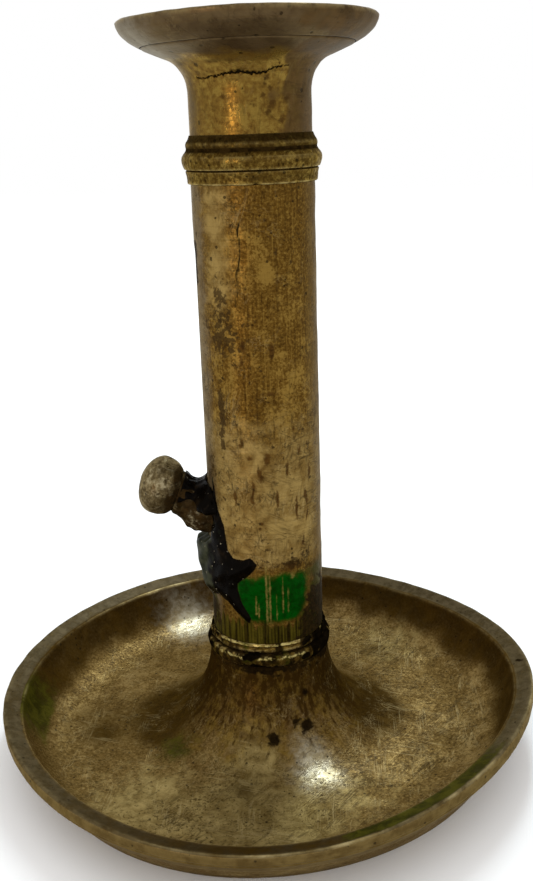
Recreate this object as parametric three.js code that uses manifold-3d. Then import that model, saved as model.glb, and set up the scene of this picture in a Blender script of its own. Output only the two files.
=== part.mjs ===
import * as THREE from "three";
import { mergeVertices } from "three/addons/utils/BufferGeometryUtils.js";
import Module from "manifold-3d";

// A chamber candlestick of aged brass: a dished pan rising into a trumpet foot, a slotted tubular stem with
// a collar at each end, a nozzle with a wide drip lip, and an ejector inside the tube that a knob in the
// slot pushes up. Millimetres, +Z up, the table at z = 0, the stem on the Z axis, slot and knob towards -X.

// Candle and tubes
const CANDLE_DIAMETER = 22.2;
const CANDLE_CLEARANCE = 0.4; // on the radius, all the way up the bore
const STEM_WALL = 1.25;
const STEM_LENGTH = 109.2; // from the foot's shoulder to the joint under the nozzle
const NOZZLE_WALL = 0.9;
const NOZZLE_HEIGHT = 26.6; // from the joint to the top of the lip
const LIP_REACH = 13.4; // how far the lip stands out from the nozzle tube
const LIP_DEPTH = 13.4; // from the start of the flare to the top of the lip

// Pan and trumpet foot
const PAN_RADIUS = 61.5;
const PAN_HEIGHT = 14.0; // table to the outer edge of the rim
const LEDGE_WIDTH = 4.0; // the flat ledge on top of the rim
const LEDGE_FALL = 1.1; // the ledge's inner crest below its outer edge
const RIM_BAND_HEIGHT = 2.6; // upright band round the outside of the rim
const RIM_BAND_PROUD = 0.4; // band over the sloping wall below it
const FOOT_RADIUS = 52.5; // outer edge of the flat ring on the table
const FOOT_RING_WIDTH = 6.5;
const FOOT_RECESS = 0.8; // underside of the floor above the table
const PAN_THICKNESS = 1.8;
const COVE_WIDTH = 18.4; // inside wall and dished edge of the floor, from the ledge in to the flat floor
const SHOULDER_HEIGHT = 22.8; // table to the seat of the stem
const TRUMPET_SPREAD = 18.3; // from the trumpet's neck out to where it runs into the floor
const TRUMPET_THICKNESS = 2.0;
const NECK_PROUD = 0.95; // trumpet's neck over the stem tube
const SPIGOT_HEIGHT = 6.0; // spigot that stands inside the tube
const SPIGOT_WALL = 2.0;

// Collars
const LOWER_COLLAR_HEIGHT = 5.5;
const LOWER_BEAD_PROUD = 1.55; // bead over the stem tube
const LOWER_RING_PROUD = 0.6; // plain ring over the stem tube
const UPPER_COLLAR_DROP = 4.4; // below the joint
const UPPER_COLLAR_RISE = 5.1; // above the joint
const UPPER_BEAD_PROUD = 1.4;
const UPPER_BAND_PROUD = 0.7;

// Ejector
const SHANK_DIAMETER = 5.2;
const SHANK_REST = 30.2; // rest height of the shank above the lower collar
const SLOT_TOP_MARGIN = 11.4; // slot end to the upper collar
const SLEEVE_WALL = 0.9;
const SLEEVE_SKIRT = 8.0; // sleeve below the shank
const SLIT_WIDTH = 1.6; // saw cut that lets the sleeve spring against the bore
const PLATFORM_THICKNESS = 1.4;
const PLATFORM_PLUG = 4.0; // plug that goes down into the sleeve
const MOUTH_MARGIN = 1.6; // raised platform below the top of the lip
const SADDLE_RADIUS = 4.6; // washer curved to the sleeve
const SADDLE_THICKNESS = 1.0;
const PEEN_RADIUS = 3.7;
const PEEN_THICKNESS = 1.5;

// Knob
const KNOB_TILT = THREE.MathUtils.degToRad(20.7); // above the horizontal
const KNOB_RADIUS = 6.6;
const KNOB_DOME = 4.25; // widest circle to the front of the dome
const KNOB_BACK = 4.5; // widest circle to the seam behind it
const NECK_LENGTH = 6.65; // from the bend in the shank to the seam
const SEAM_RADIUS = 4.6;
const NECK_FOOT_RADIUS = 6.2; // neck where it meets the stem
const SHANK_GRIP = 4.4; // shank screwed into the knob
const BEND_OUT = 0.4; // bend in the shank outside the stem's surface

// Clearances
const SLIDE_CLEARANCE = 0.3; // sleeve in the bore, neck on the stem, shank in the slot
const FIT_CLEARANCE = 0.15; // collars on the tubes, spigot in the tube, plug in the sleeve
const SEAT_GAP = 0.3; // between pieces that meet on a slant

const SEGMENTS = 48;
const SMALL_SEGMENTS = 24;

// Dependent sizes
const BORE = CANDLE_DIAMETER / 2 + CANDLE_CLEARANCE;
const STEM_RADIUS = BORE + STEM_WALL;
const NOZZLE_RADIUS = BORE + NOZZLE_WALL;
const JOINT = SHOULDER_HEIGHT + STEM_LENGTH;
const MOUTH = JOINT + NOZZLE_HEIGHT;
const FLOOR = FOOT_RECESS + PAN_THICKNESS;
const SHANK_RADIUS = SHANK_DIAMETER / 2;
const SLOT_RADIUS = SHANK_RADIUS + SLIDE_CLEARANCE;
const SHANK_HEIGHT = SHOULDER_HEIGHT + LOWER_COLLAR_HEIGHT + SHANK_REST;
const SLOT_TOP = JOINT - UPPER_COLLAR_DROP - SLOT_TOP_MARGIN;
const TRAVEL = SLOT_TOP - SLOT_RADIUS - SHANK_HEIGHT;
const SLEEVE_RADIUS = BORE - SLIDE_CLEARANCE;
const SLEEVE_BORE = SLEEVE_RADIUS - SLEEVE_WALL;
const PLATFORM_TOP = MOUTH - MOUTH_MARGIN - TRAVEL;
const SLEEVE_TOP = PLATFORM_TOP - PLATFORM_THICKNESS;
const SLEEVE_FOOT = SHANK_HEIGHT - SLEEVE_SKIRT;
const BEND = new THREE.Vector3(-STEM_RADIUS - BEND_OUT, 0, SHANK_HEIGHT);

const wasm = await Module();
wasm.setup();

const finish = (color, roughness, metalness) => () =>
  new THREE.MeshStandardMaterial({ color, roughness, metalness });
const panBrass = finish(0x7d6a45, 0.42, 0.9);
const stemBrass = finish(0x80673a, 0.36, 0.92);
const lipBrass = finish(0x6f6249, 0.4, 0.9);
const collarBrass = finish(0x86703c, 0.34, 0.92);
const knobBrass = finish(0x75674c, 0.38, 0.9);
const innerBrass = finish(0x5b4a2a, 0.55, 0.85);
const shankBrass = finish(0x4f442c, 0.6, 0.85);

// Turns a section of [radius, height] pairs about the Z axis. The section runs counter-clockwise, outside
// going up, and either starts and ends on the axis or closes on itself.
function turned(section, segments = SEGMENTS) {
  const points = section.map(([radius, height]) => new THREE.Vector2(radius, height));
  return new THREE.LatheGeometry(points, segments).rotateX(Math.PI / 2);
}

const closed = (section) => [...section, section[0]];

function bezier(from, leaving, arriving, to, steps) {
  const ends = [from, leaving, arriving, to].map(([x, y]) => new THREE.Vector2(x, y));
  const curve = new THREE.CubicBezierCurve(...ends);
  return curve.getPoints(steps).map((p) => [p.x, p.y]);
}

// An arc of an ellipse, with its angles in degrees from the outward direction.
function arc([cx, cy], rx, ry, start, end, steps) {
  const curve = new THREE.EllipseCurve(
    cx,
    cy,
    rx,
    ry,
    THREE.MathUtils.degToRad(start),
    THREE.MathUtils.degToRad(end),
    end < start,
  );
  return curve.getPoints(steps).map((p) => [p.x, p.y]);
}

// The same line moved sideways, to the left of its direction of travel.
function offset(line, distance) {
  return line.map(([x, y], i) => {
    const [ax, ay] = line[Math.max(i - 1, 0)];
    const [bx, by] = line[Math.min(i + 1, line.length - 1)];
    const length = Math.hypot(bx - ax, by - ay);
    return [x - ((by - ay) / length) * distance, y + ((bx - ax) / length) * distance];
  });
}

function solidOf(geometry) {
  const bare = geometry.clone();
  bare.deleteAttribute("normal");
  bare.deleteAttribute("uv");
  const merged = mergeVertices(bare, 1e-4);
  const vertProperties = merged.getAttribute("position").array;
  const triVerts = new Uint32Array(merged.index.array);
  return new wasm.Manifold(new wasm.Mesh({ numProp: 3, vertProperties, triVerts }));
}

function geometryOf(solid) {
  const { vertProperties, triVerts } = solid.getMesh();
  const geometry = new THREE.BufferGeometry();
  geometry.setAttribute("position", new THREE.BufferAttribute(vertProperties, 3));
  geometry.setIndex(new THREE.BufferAttribute(triVerts, 1));
  geometry.computeVertexNormals();
  return geometry;
}

function piece(name, geometry, material) {
  const mesh = new THREE.Mesh(geometry, material());
  mesh.name = name;
  return mesh;
}

// A plain bar of one radius on the Z axis.
function bar(radius, from, to, segments = SMALL_SEGMENTS) {
  return turned([[0, from], [radius, from], [radius, to], [0, to]], segments);
}

// A plain tube on the Z axis.
function tube(bore, radius, from, to) {
  return turned(closed([[bore, from], [radius, from], [radius, to], [bore, to]]));
}

// Pan and trumpet foot, one hollow casting that stands on a flat ring.
function basePan() {
  const crest = PAN_RADIUS - LEDGE_WIDTH;
  const crestHeight = PAN_HEIGHT - LEDGE_FALL;
  const coveFoot = crest - COVE_WIDTH;
  const bandFoot = PAN_HEIGHT - RIM_BAND_HEIGHT;
  const neck = STEM_RADIUS + NECK_PROUD;
  const spread = neck + TRUMPET_SPREAD;
  const spigot = BORE - FIT_CLEARANCE;
  const drop = SHOULDER_HEIGHT - FLOOR;
  const cove = bezier(
    [crest - 0.5, crestHeight - 0.5],
    [crest - 0.125 * COVE_WIDTH, FLOOR + 0.33 * (crestHeight - FLOOR)],
    [crest - 0.35 * COVE_WIDTH, FLOOR],
    [coveFoot, FLOOR],
    8,
  );
  const flare = bezier(
    [spread, FLOOR],
    [neck + 0.33 * TRUMPET_SPREAD, FLOOR + 0.02 * drop],
    [neck + 0.03 * TRUMPET_SPREAD, FLOOR + 0.5 * drop],
    [neck, SHOULDER_HEIGHT - 0.6],
    9,
  );
  const hollow = offset(flare.slice(1, -1), TRUMPET_THICKNESS)
    .filter(([radius]) => radius > spigot - SPIGOT_WALL + 0.4)
    .reverse();
  return turned(
    closed([
      [spread + 1.0, FOOT_RECESS],
      [FOOT_RADIUS - FOOT_RING_WIDTH - 0.8, FOOT_RECESS],
      [FOOT_RADIUS - FOOT_RING_WIDTH, 0],
      [FOOT_RADIUS - 0.6, 0],
      [FOOT_RADIUS, 0.4],
      [PAN_RADIUS - RIM_BAND_PROUD, bandFoot - 0.5],
      [PAN_RADIUS - RIM_BAND_PROUD, bandFoot],
      [PAN_RADIUS - 0.3, bandFoot],
      [PAN_RADIUS, bandFoot + 0.4],
      [PAN_RADIUS, PAN_HEIGHT - 0.4],
      [PAN_RADIUS - 0.5, PAN_HEIGHT],
      [crest + 0.5, crestHeight],
      [crest - 0.2, crestHeight - 0.1],
      ...cove,
      ...flare,
      [neck - 0.5, SHOULDER_HEIGHT],
      [spigot, SHOULDER_HEIGHT],
      [spigot, SHOULDER_HEIGHT + SPIGOT_HEIGHT - 0.6],
      [spigot - 0.6, SHOULDER_HEIGHT + SPIGOT_HEIGHT],
      [spigot - SPIGOT_WALL, SHOULDER_HEIGHT + SPIGOT_HEIGHT],
      [spigot - SPIGOT_WALL, SHOULDER_HEIGHT - TRUMPET_THICKNESS - 2.0],
      ...hollow,
    ]),
  );
}

// Ring and bead round the foot of the stem, standing on the trumpet's shoulder.
function lowerCollar() {
  const bore = STEM_RADIUS + FIT_CLEARANCE;
  const bead = STEM_RADIUS + LOWER_BEAD_PROUD;
  const ring = STEM_RADIUS + LOWER_RING_PROUD;
  const at = (share) => SHOULDER_HEIGHT + share * LOWER_COLLAR_HEIGHT;
  return turned(
    closed([
      [bore, at(0)],
      [bead - 0.8, at(0)],
      ...arc([bead - 0.9, at(0.28)], 0.9, 0.28 * LOWER_COLLAR_HEIGHT, -65, 75, 6),
      [ring - 0.1, at(0.58)],
      [ring + 0.15, at(0.66)],
      [ring, at(0.9)],
      [ring - 0.25, at(1)],
      [bore, at(1)],
    ]),
  );
}

// Stem tube with the knob's slot cut through the side.
function stemTube() {
  const wall = solidOf(tube(BORE, STEM_RADIUS, SHOULDER_HEIGHT, JOINT));
  return geometryOf(wall.subtract(solidOf(slotCutter())));
}

// A round-ended bar along the slot, reaching from the axis out through the tube wall.
function slotCutter() {
  const outline = new THREE.Shape();
  outline.absarc(0, SLOT_TOP - SLOT_RADIUS, SLOT_RADIUS, 0, Math.PI, false);
  outline.absarc(0, SHANK_HEIGHT, SLOT_RADIUS, Math.PI, 2 * Math.PI, false);
  const cutter = new THREE.ExtrudeGeometry(outline, {
    depth: STEM_RADIUS + 2,
    bevelEnabled: false,
    curveSegments: 8,
  });
  return cutter.rotateX(Math.PI / 2).rotateZ(-Math.PI / 2);
}

// Moulded sleeve over the joint between stem and nozzle. A small step in its bore sits on the stem's end.
function upperCollar() {
  const stemBore = STEM_RADIUS + FIT_CLEARANCE;
  const nozzleBore = NOZZLE_RADIUS + FIT_CLEARANCE;
  const bead = STEM_RADIUS + UPPER_BEAD_PROUD;
  const band = STEM_RADIUS + UPPER_BAND_PROUD;
  const foot = JOINT - UPPER_COLLAR_DROP;
  const top = JOINT + UPPER_COLLAR_RISE;
  const at = (share) => foot + share * (top - foot);
  return turned(
    closed([
      [stemBore, foot],
      [band - 0.45, foot],
      [band - 0.15, at(0.05)],
      [band, at(0.26)],
      [band - 0.12, at(0.3)],
      ...arc([bead - 1.0, at(0.5)], 1.0, 0.18 * (top - foot), -70, 70, 6),
      [band - 0.3, at(0.7)],
      [band - 0.15, at(0.76)],
      [band - 0.15, at(0.86)],
      [band - 0.55, at(0.94)],
      [nozzleBore + 0.2, at(1)],
      [nozzleBore, at(1)],
      [nozzleBore, JOINT],
      [stemBore, JOINT],
    ]),
  );
}

// Nozzle tube and its wide drip lip, standing on the end of the stem.
function candleNozzle() {
  const lipRadius = NOZZLE_RADIUS + LIP_REACH;
  const flareFoot = MOUTH - LIP_DEPTH;
  const place = ([reach, rise]) => [NOZZLE_RADIUS + reach * LIP_REACH, flareFoot + rise * LIP_DEPTH];
  const underside = [
    [0, 0],
    [0.015, 0.12],
    [0.05, 0.24],
    [0.15, 0.38],
    [0.24, 0.445],
    [0.37, 0.495],
    [0.62, 0.6],
    [0.82, 0.715],
    [0.95, 0.83],
    [0.995, 0.93],
  ].map(place);
  const upperSide = offset(underside, NOZZLE_WALL)
    .filter(([radius]) => radius > BORE + 0.1)
    .reverse();
  return turned(
    closed([
      [BORE, JOINT],
      [NOZZLE_RADIUS, JOINT],
      ...underside,
      [lipRadius, MOUTH - 0.35],
      [lipRadius - 0.35, MOUTH],
      [lipRadius - NOZZLE_WALL, MOUTH - 0.1],
      ...upperSide,
      [BORE, flareFoot + 0.08 * LIP_DEPTH],
    ]),
  );
}

// Split sleeve that slides in the bore, with a hole for the shank.
function ejectorSleeve() {
  const wall = solidOf(tube(SLEEVE_BORE, SLEEVE_RADIUS, SLEEVE_FOOT, SLEEVE_TOP));
  const hole = bar(SHANK_RADIUS + FIT_CLEARANCE, 0, STEM_RADIUS)
    .rotateY(-Math.PI / 2)
    .translate(0, 0, SHANK_HEIGHT);
  const length = SLEEVE_TOP - SLEEVE_FOOT;
  const slit = new THREE.BoxGeometry(STEM_RADIUS, SLIT_WIDTH, length + 2).translate(
    STEM_RADIUS / 2 + SLEEVE_BORE / 2,
    0,
    SLEEVE_FOOT + length / 2,
  );
  return geometryOf(wall.subtract(solidOf(hole)).subtract(solidOf(slit)));
}

// Disc the candle stands on, with a plug that goes down into the sleeve.
function candlePlatform() {
  const plug = SLEEVE_BORE - FIT_CLEARANCE;
  return turned([
    [0, SLEEVE_TOP - PLATFORM_PLUG],
    [plug - 0.5, SLEEVE_TOP - PLATFORM_PLUG],
    [plug, SLEEVE_TOP - PLATFORM_PLUG + 0.5],
    [plug, SLEEVE_TOP],
    [SLEEVE_RADIUS, SLEEVE_TOP],
    [SLEEVE_RADIUS, PLATFORM_TOP - 0.4],
    [SLEEVE_RADIUS - 0.4, PLATFORM_TOP],
    [0, PLATFORM_TOP],
  ]);
}

// The cranked line of the shank as a solid of any radius: level through the slot, then up to the knob.
function crankedBar(radius, inner, reach) {
  const level = bar(radius, 0, -BEND.x - inner)
    .rotateY(Math.PI / 2)
    .translate(BEND.x, 0, BEND.z);
  const elbow = new THREE.SphereGeometry(radius, SMALL_SEGMENTS, SMALL_SEGMENTS / 2);
  elbow.translate(BEND.x, BEND.y, BEND.z);
  const rising = alongKnob(bar(radius, 0, reach));
  return solidOf(level).add(solidOf(elbow)).add(solidOf(rising));
}

// Lays a piece made on the Z axis along the knob's slanting axis, from the bend outwards.
function alongKnob(geometry) {
  return geometry.rotateY(KNOB_TILT - Math.PI / 2).translate(BEND.x, BEND.y, BEND.z);
}

// Inside face of the saddle, where the end of the shank is spread over it.
const PEEN_FACE = SLEEVE_BORE - FIT_CLEARANCE - SADDLE_THICKNESS;

// Shank from the knob through neck, slot and sleeve to its spread inner end.
function ejectorShank() {
  const inner = PEEN_FACE - PEEN_THICKNESS;
  const stock = bar(PEEN_RADIUS, inner, SLEEVE_BORE)
    .rotateY(-Math.PI / 2)
    .translate(0, 0, SHANK_HEIGHT);
  const within = bar(PEEN_FACE - FIT_CLEARANCE, SLEEVE_FOOT, SHANK_HEIGHT + SLEEVE_SKIRT, SEGMENTS);
  const peen = solidOf(stock).intersect(solidOf(within));
  return geometryOf(crankedBar(SHANK_RADIUS, inner, NECK_LENGTH + SHANK_GRIP).add(peen));
}

// Curved washer between the sleeve and the spread end of the shank.
function shankSaddle() {
  const outer = SLEEVE_BORE - FIT_CLEARANCE;
  const shell = solidOf(tube(PEEN_FACE, outer, SLEEVE_FOOT, SHANK_HEIGHT + SLEEVE_SKIRT));
  const across = (radius) =>
    solidOf(bar(radius, 2, STEM_RADIUS).rotateY(-Math.PI / 2).translate(0, 0, SHANK_HEIGHT));
  const disc = shell.intersect(across(SADDLE_RADIUS));
  return geometryOf(disc.subtract(across(SHANK_RADIUS + FIT_CLEARANCE)));
}

// Flared neck between knob and stem, bored for the shank and hollowed to the stem's round.
function knobNeck() {
  const end = NECK_LENGTH - SEAT_GAP;
  const waist = SEAM_RADIUS - 0.25;
  const blank = turned(
    [
      [0, -3.5],
      [NECK_FOOT_RADIUS + 1.2, -3.5],
      [NECK_FOOT_RADIUS, 0.4],
      [waist + 0.55, 2.2],
      [waist, 3.8],
      [waist + 0.1, end - 0.5],
      [SEAM_RADIUS, end],
      [0, end],
    ],
    32,
  );
  const stem = bar(STEM_RADIUS + SLIDE_CLEARANCE, SHANK_HEIGHT - 20, SHANK_HEIGHT + 20, SEGMENTS);
  const bore = crankedBar(SHANK_RADIUS + FIT_CLEARANCE, 0, NECK_LENGTH + 2);
  return geometryOf(solidOf(alongKnob(blank)).subtract(solidOf(stem)).subtract(bore));
}

// Domed knob with a blind hole for the shank, in the frame of its own axis.
function knobButton() {
  const widest = NECK_LENGTH + KNOB_BACK;
  const hole = SHANK_RADIUS + FIT_CLEARANCE;
  const depth = NECK_LENGTH + SHANK_GRIP + SEAT_GAP;
  return turned(
    [
      [0, depth],
      [hole, depth],
      [hole, NECK_LENGTH],
      [SEAM_RADIUS, NECK_LENGTH],
      ...bezier(
        [SEAM_RADIUS + 0.3, NECK_LENGTH + 0.25],
        [KNOB_RADIUS - 0.9, NECK_LENGTH + 0.2 * KNOB_BACK],
        [KNOB_RADIUS, NECK_LENGTH + 0.5 * KNOB_BACK],
        [KNOB_RADIUS, widest],
        5,
      ),
      ...arc([0, widest], KNOB_RADIUS, KNOB_DOME, 12, 90, 7).slice(0, -1),
      [0, widest + KNOB_DOME],
    ],
    32,
  );
}

const candlestick = new THREE.Group();
candlestick.name = "candlestick";
candlestick.add(
  piece("base_pan", basePan(), panBrass),
  piece("lower_collar", lowerCollar(), collarBrass),
  piece("stem_tube", stemTube(), stemBrass),
  piece("upper_collar", upperCollar(), collarBrass),
  piece("candle_nozzle", candleNozzle(), lipBrass),
);

const knob = new THREE.Group();
knob.name = "knob";
knob.position.copy(BEND);
knob.rotation.y = KNOB_TILT - Math.PI / 2;
knob.add(piece("knob_button", knobButton(), knobBrass));

const ejector = new THREE.Group();
ejector.name = "ejector";
ejector.add(
  piece("ejector_sleeve", ejectorSleeve(), innerBrass),
  piece("candle_platform", candlePlatform(), innerBrass),
  piece("ejector_shank", ejectorShank(), shankBrass),
  piece("shank_saddle", shankSaddle(), innerBrass),
  piece("knob_neck", knobNeck(), knobBrass),
  knob,
);

const holder = new THREE.Group();
holder.name = "candle_holder";
holder.add(candlestick, ejector);

export default holder;
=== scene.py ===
"""The looks of an aged brass chamber candlestick with a push-up knob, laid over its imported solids.

Metres in the frame of the solids: +Z up, the table at z = 0, the stem on the Z axis, slot and knob towards -X,
the viewer towards -Y. Sizes are written in millimetres and scaled once, where a mesh is made. Angles round the
stem are counted from the viewer's side, towards +X.
"""

import logging
import math
from dataclasses import dataclass, field
from enum import Enum
from functools import cached_property
from typing import Callable, Mapping, Sequence, Union

import bmesh
import bpy
import numpy as np
from mathutils import Matrix, Vector


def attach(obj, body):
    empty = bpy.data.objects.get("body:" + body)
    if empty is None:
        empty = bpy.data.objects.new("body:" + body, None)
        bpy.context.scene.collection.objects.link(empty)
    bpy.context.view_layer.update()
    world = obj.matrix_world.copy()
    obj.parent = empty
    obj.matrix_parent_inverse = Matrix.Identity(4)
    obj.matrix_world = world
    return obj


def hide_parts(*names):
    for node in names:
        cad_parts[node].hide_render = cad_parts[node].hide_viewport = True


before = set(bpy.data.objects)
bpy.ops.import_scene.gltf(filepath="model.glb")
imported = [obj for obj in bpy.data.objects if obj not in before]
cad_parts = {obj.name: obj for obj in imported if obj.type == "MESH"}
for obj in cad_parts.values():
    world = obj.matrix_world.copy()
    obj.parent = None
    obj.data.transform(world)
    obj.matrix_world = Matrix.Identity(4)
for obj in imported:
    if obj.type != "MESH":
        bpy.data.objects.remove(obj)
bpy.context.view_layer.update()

Array = np.ndarray
Colour = tuple[float, float, float]
Rows = Sequence[Sequence[float]]
Terms = tuple[tuple[float, float], ...]
Reach = Callable[[Array, Array], Array]
Piece = bpy.types.Object
Material = bpy.types.Material
Tree = bpy.types.NodeTree
Socket = bpy.types.NodeSocket
Feed = Union[Socket, float, Colour, Vector]
Look = dict[str, Feed]

LOG = logging.getLogger("candlestick")
MM = 0.001


class Body(Enum):
    """The two bodies of the model: what stands still and what the knob pushes."""

    STAND = "candlestick"
    PUSHER = "ejector"


class Slot(Enum):
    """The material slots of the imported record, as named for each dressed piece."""

    PAN = "pan_brass"
    STEM = "stem_brass"
    LIP = "lip_brass"
    COLLAR = "collar_brass"
    KNOB = "knob_brass"
    INNER = "inner_brass"


# Lines and fields


def eased(low: float, high: float, value: Array) -> Array:
    """Eased step from 0 at low to 1 at high, 3t squared less 2t cubed; high may be the smaller."""
    t = np.clip((value - low) / (high - low), 0.0, 1.0)
    return t * t * (3.0 - 2.0 * t)


def window(value: Array, start: float, full: float, fading: float, end: float) -> Array:
    """Eased rise from start to full, times an eased fall from fading to end."""
    return eased(start, full, value) * eased(end, fading, value)


def bell(value: Array, centre: float, width: float) -> Array:
    """Bell curve of height 1: e to the minus square of the distance over the width."""
    return np.exp(-(((value - centre) / width) ** 2))


def clipped(value: Array) -> Array:
    """A value held between 0 and 1."""
    return np.clip(value, 0.0, 1.0)


def blobs(rows: Rows, across: Array, up: Array) -> Array:
    """Sum of round bells, each given as (across, up, width, weight)."""
    return sum(t * bell(np.hypot(across - a, up - b), 0.0, w) for a, b, w, t in rows)


def patches(rows: Rows, degrees: Array, height: Array) -> Array:
    """Sum of upright patches, each given as (weight, angle, spread) and the four heights of its window."""
    return sum(t * bell(degrees, a, w) * window(height, *span) for t, a, w, *span in rows)


def paint(red: float, green: float, blue: float) -> Colour:
    """A screen colour of 0 to 255 as linear light, by the usual power of 2.4 with a straight foot."""
    s = np.array((red, green, blue)) / 255.0
    return tuple(np.where(s <= 0.04045, s / 12.92, ((s + 0.055) / 1.055) ** 2.4).tolist())


def bezier(start: Sequence[float], leaving: Sequence[float], arriving: Sequence[float],
           end: Sequence[float], count: int) -> Array:
    """Cubic curve through start and end.

    The four points are weighted by the cubes and products of t and 1 - t.

    Args:
        start: First point, radius and height.
        leaving: Handle of the first point.
        arriving: Handle of the last point.
        end: Last point.
        count: Number of points on the curve.

    Returns:
        The points, count by 2.
    """
    t = np.linspace(0.0, 1.0, count)[:, None]
    u = 1.0 - t
    p, q, r, s = (np.asarray(v, float) for v in (start, leaving, arriving, end))
    return u**3 * p + 3.0 * u * u * t * q + 3.0 * u * t * t * r + t**3 * s


def arc(centre: Sequence[float], across: float, up: float, start: float, end: float, count: int) -> Array:
    """Arc of an ellipse between two angles in degrees: centre plus (across cos a, up sin a)."""
    a = np.radians(np.linspace(start, end, count))
    return np.stack([centre[0] + across * np.cos(a), centre[1] + up * np.sin(a)], -1)


def ripple(points: Array, wavelength: float, seed: int, waves: int = 22) -> Array:
    """Random lumps of about unit height: a sum of plane waves with seeded headings, paces and phases.

    Args:
        points: Points in millimetres, any shape with three coordinates last.
        wavelength: Typical distance between lumps in millimetres.
        seed: Seed of the random numbers.
        waves: Number of waves added up.

    Returns:
        One value a point.
    """
    rng = np.random.default_rng(seed)
    heading = rng.normal(size=(waves, 3))
    heading /= np.linalg.norm(heading, axis=1)[:, None]
    pace = 2.0 * np.pi / wavelength * rng.uniform(0.6, 1.5, waves)
    phase = rng.uniform(0.0, 2.0 * np.pi, waves)
    total = np.cos(points.reshape(-1, 3) @ (heading * pace[:, None]).T + phase).sum(-1)
    return total.reshape(points.shape[:-1]) * math.sqrt(2.0 / waves)


def to_line(line: Array, across: Array, up: Array) -> tuple[Array, Array]:
    """Distance to an open line of straight pieces.

    Each point is dropped square on each piece, and the nearest piece counts.

    Args:
        line: Corners of the line, n by 2.
        across: First coordinates of the points.
        up: Second coordinates of the points.

    Returns:
        The distance, and the share of the way along the line at the nearest spot.
    """
    points = np.stack([across, up], -1)
    best, along = np.full(across.shape, np.inf), np.zeros(across.shape)
    pieces = len(line) - 1
    for i in range(pieces):
        edge = line[i + 1] - line[i]
        t = np.clip((points - line[i]) @ edge / (edge @ edge), 0.0, 1.0)
        gap = np.linalg.norm(points - line[i] - t[..., None] * edge, axis=-1)
        nearer = gap < best
        best, along = np.where(nearer, gap, best), np.where(nearer, (i + t) / pieces, along)
    return best, along


def within(outline: Array, across: Array, up: Array) -> Array:
    """Distance inside a closed outline, negative outside it.

    The distance is to the nearest side, and a point is inside where a level ray crosses an odd number of sides.

    Args:
        outline: Corners of the outline, n by 2.
        across: First coordinates of the points.
        up: Second coordinates of the points.

    Returns:
        One signed distance a point.
    """
    gap, _ = to_line(np.vstack([outline, outline[:1]]), across, up)
    inside = np.zeros(across.shape, bool)
    for start, end in zip(outline, np.roll(outline, -1, 0)):
        rise = end[1] - start[1]
        reach = start[0] + (up - start[1]) * (end[0] - start[0]) / (rise if abs(rise) > 1e-9 else 1e-9)
        inside ^= ((start[1] > up) != (end[1] > up)) & (across < reach)
    return np.where(inside, gap, -gap)


def round_points(radius: Array, phi: Array, height: Array) -> Array:
    """Points at a radius and an angle round the Z axis: (r sin a, -r cos a, z)."""
    radius, phi, height = np.broadcast_arrays(radius, phi, height)
    return np.stack([radius * np.sin(phi), -radius * np.cos(phi), height], -1)


def crowded_angles(front: int, back: int, half: float = 100.0) -> Array:
    """Radians once round: front of them over half degrees on each side of the viewer, and back behind."""
    near, far = np.linspace(-half, half, front + 1)[:-1], np.linspace(half, 360.0 - half, back + 1)[:-1]
    return np.radians(np.mod(np.concatenate([near, far]) + 180.0, 360.0) - 180.0)


SAMPLE = 0.04  # millimetres between the samples of an outline
PROUD_WIDTH, LOW_WIDTH = 0.4, 0.9  # smoothing that edges and recesses are measured against, in millimetres
BEND_POINTS = 5.0  # points added for each radian that an outline turns


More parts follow.
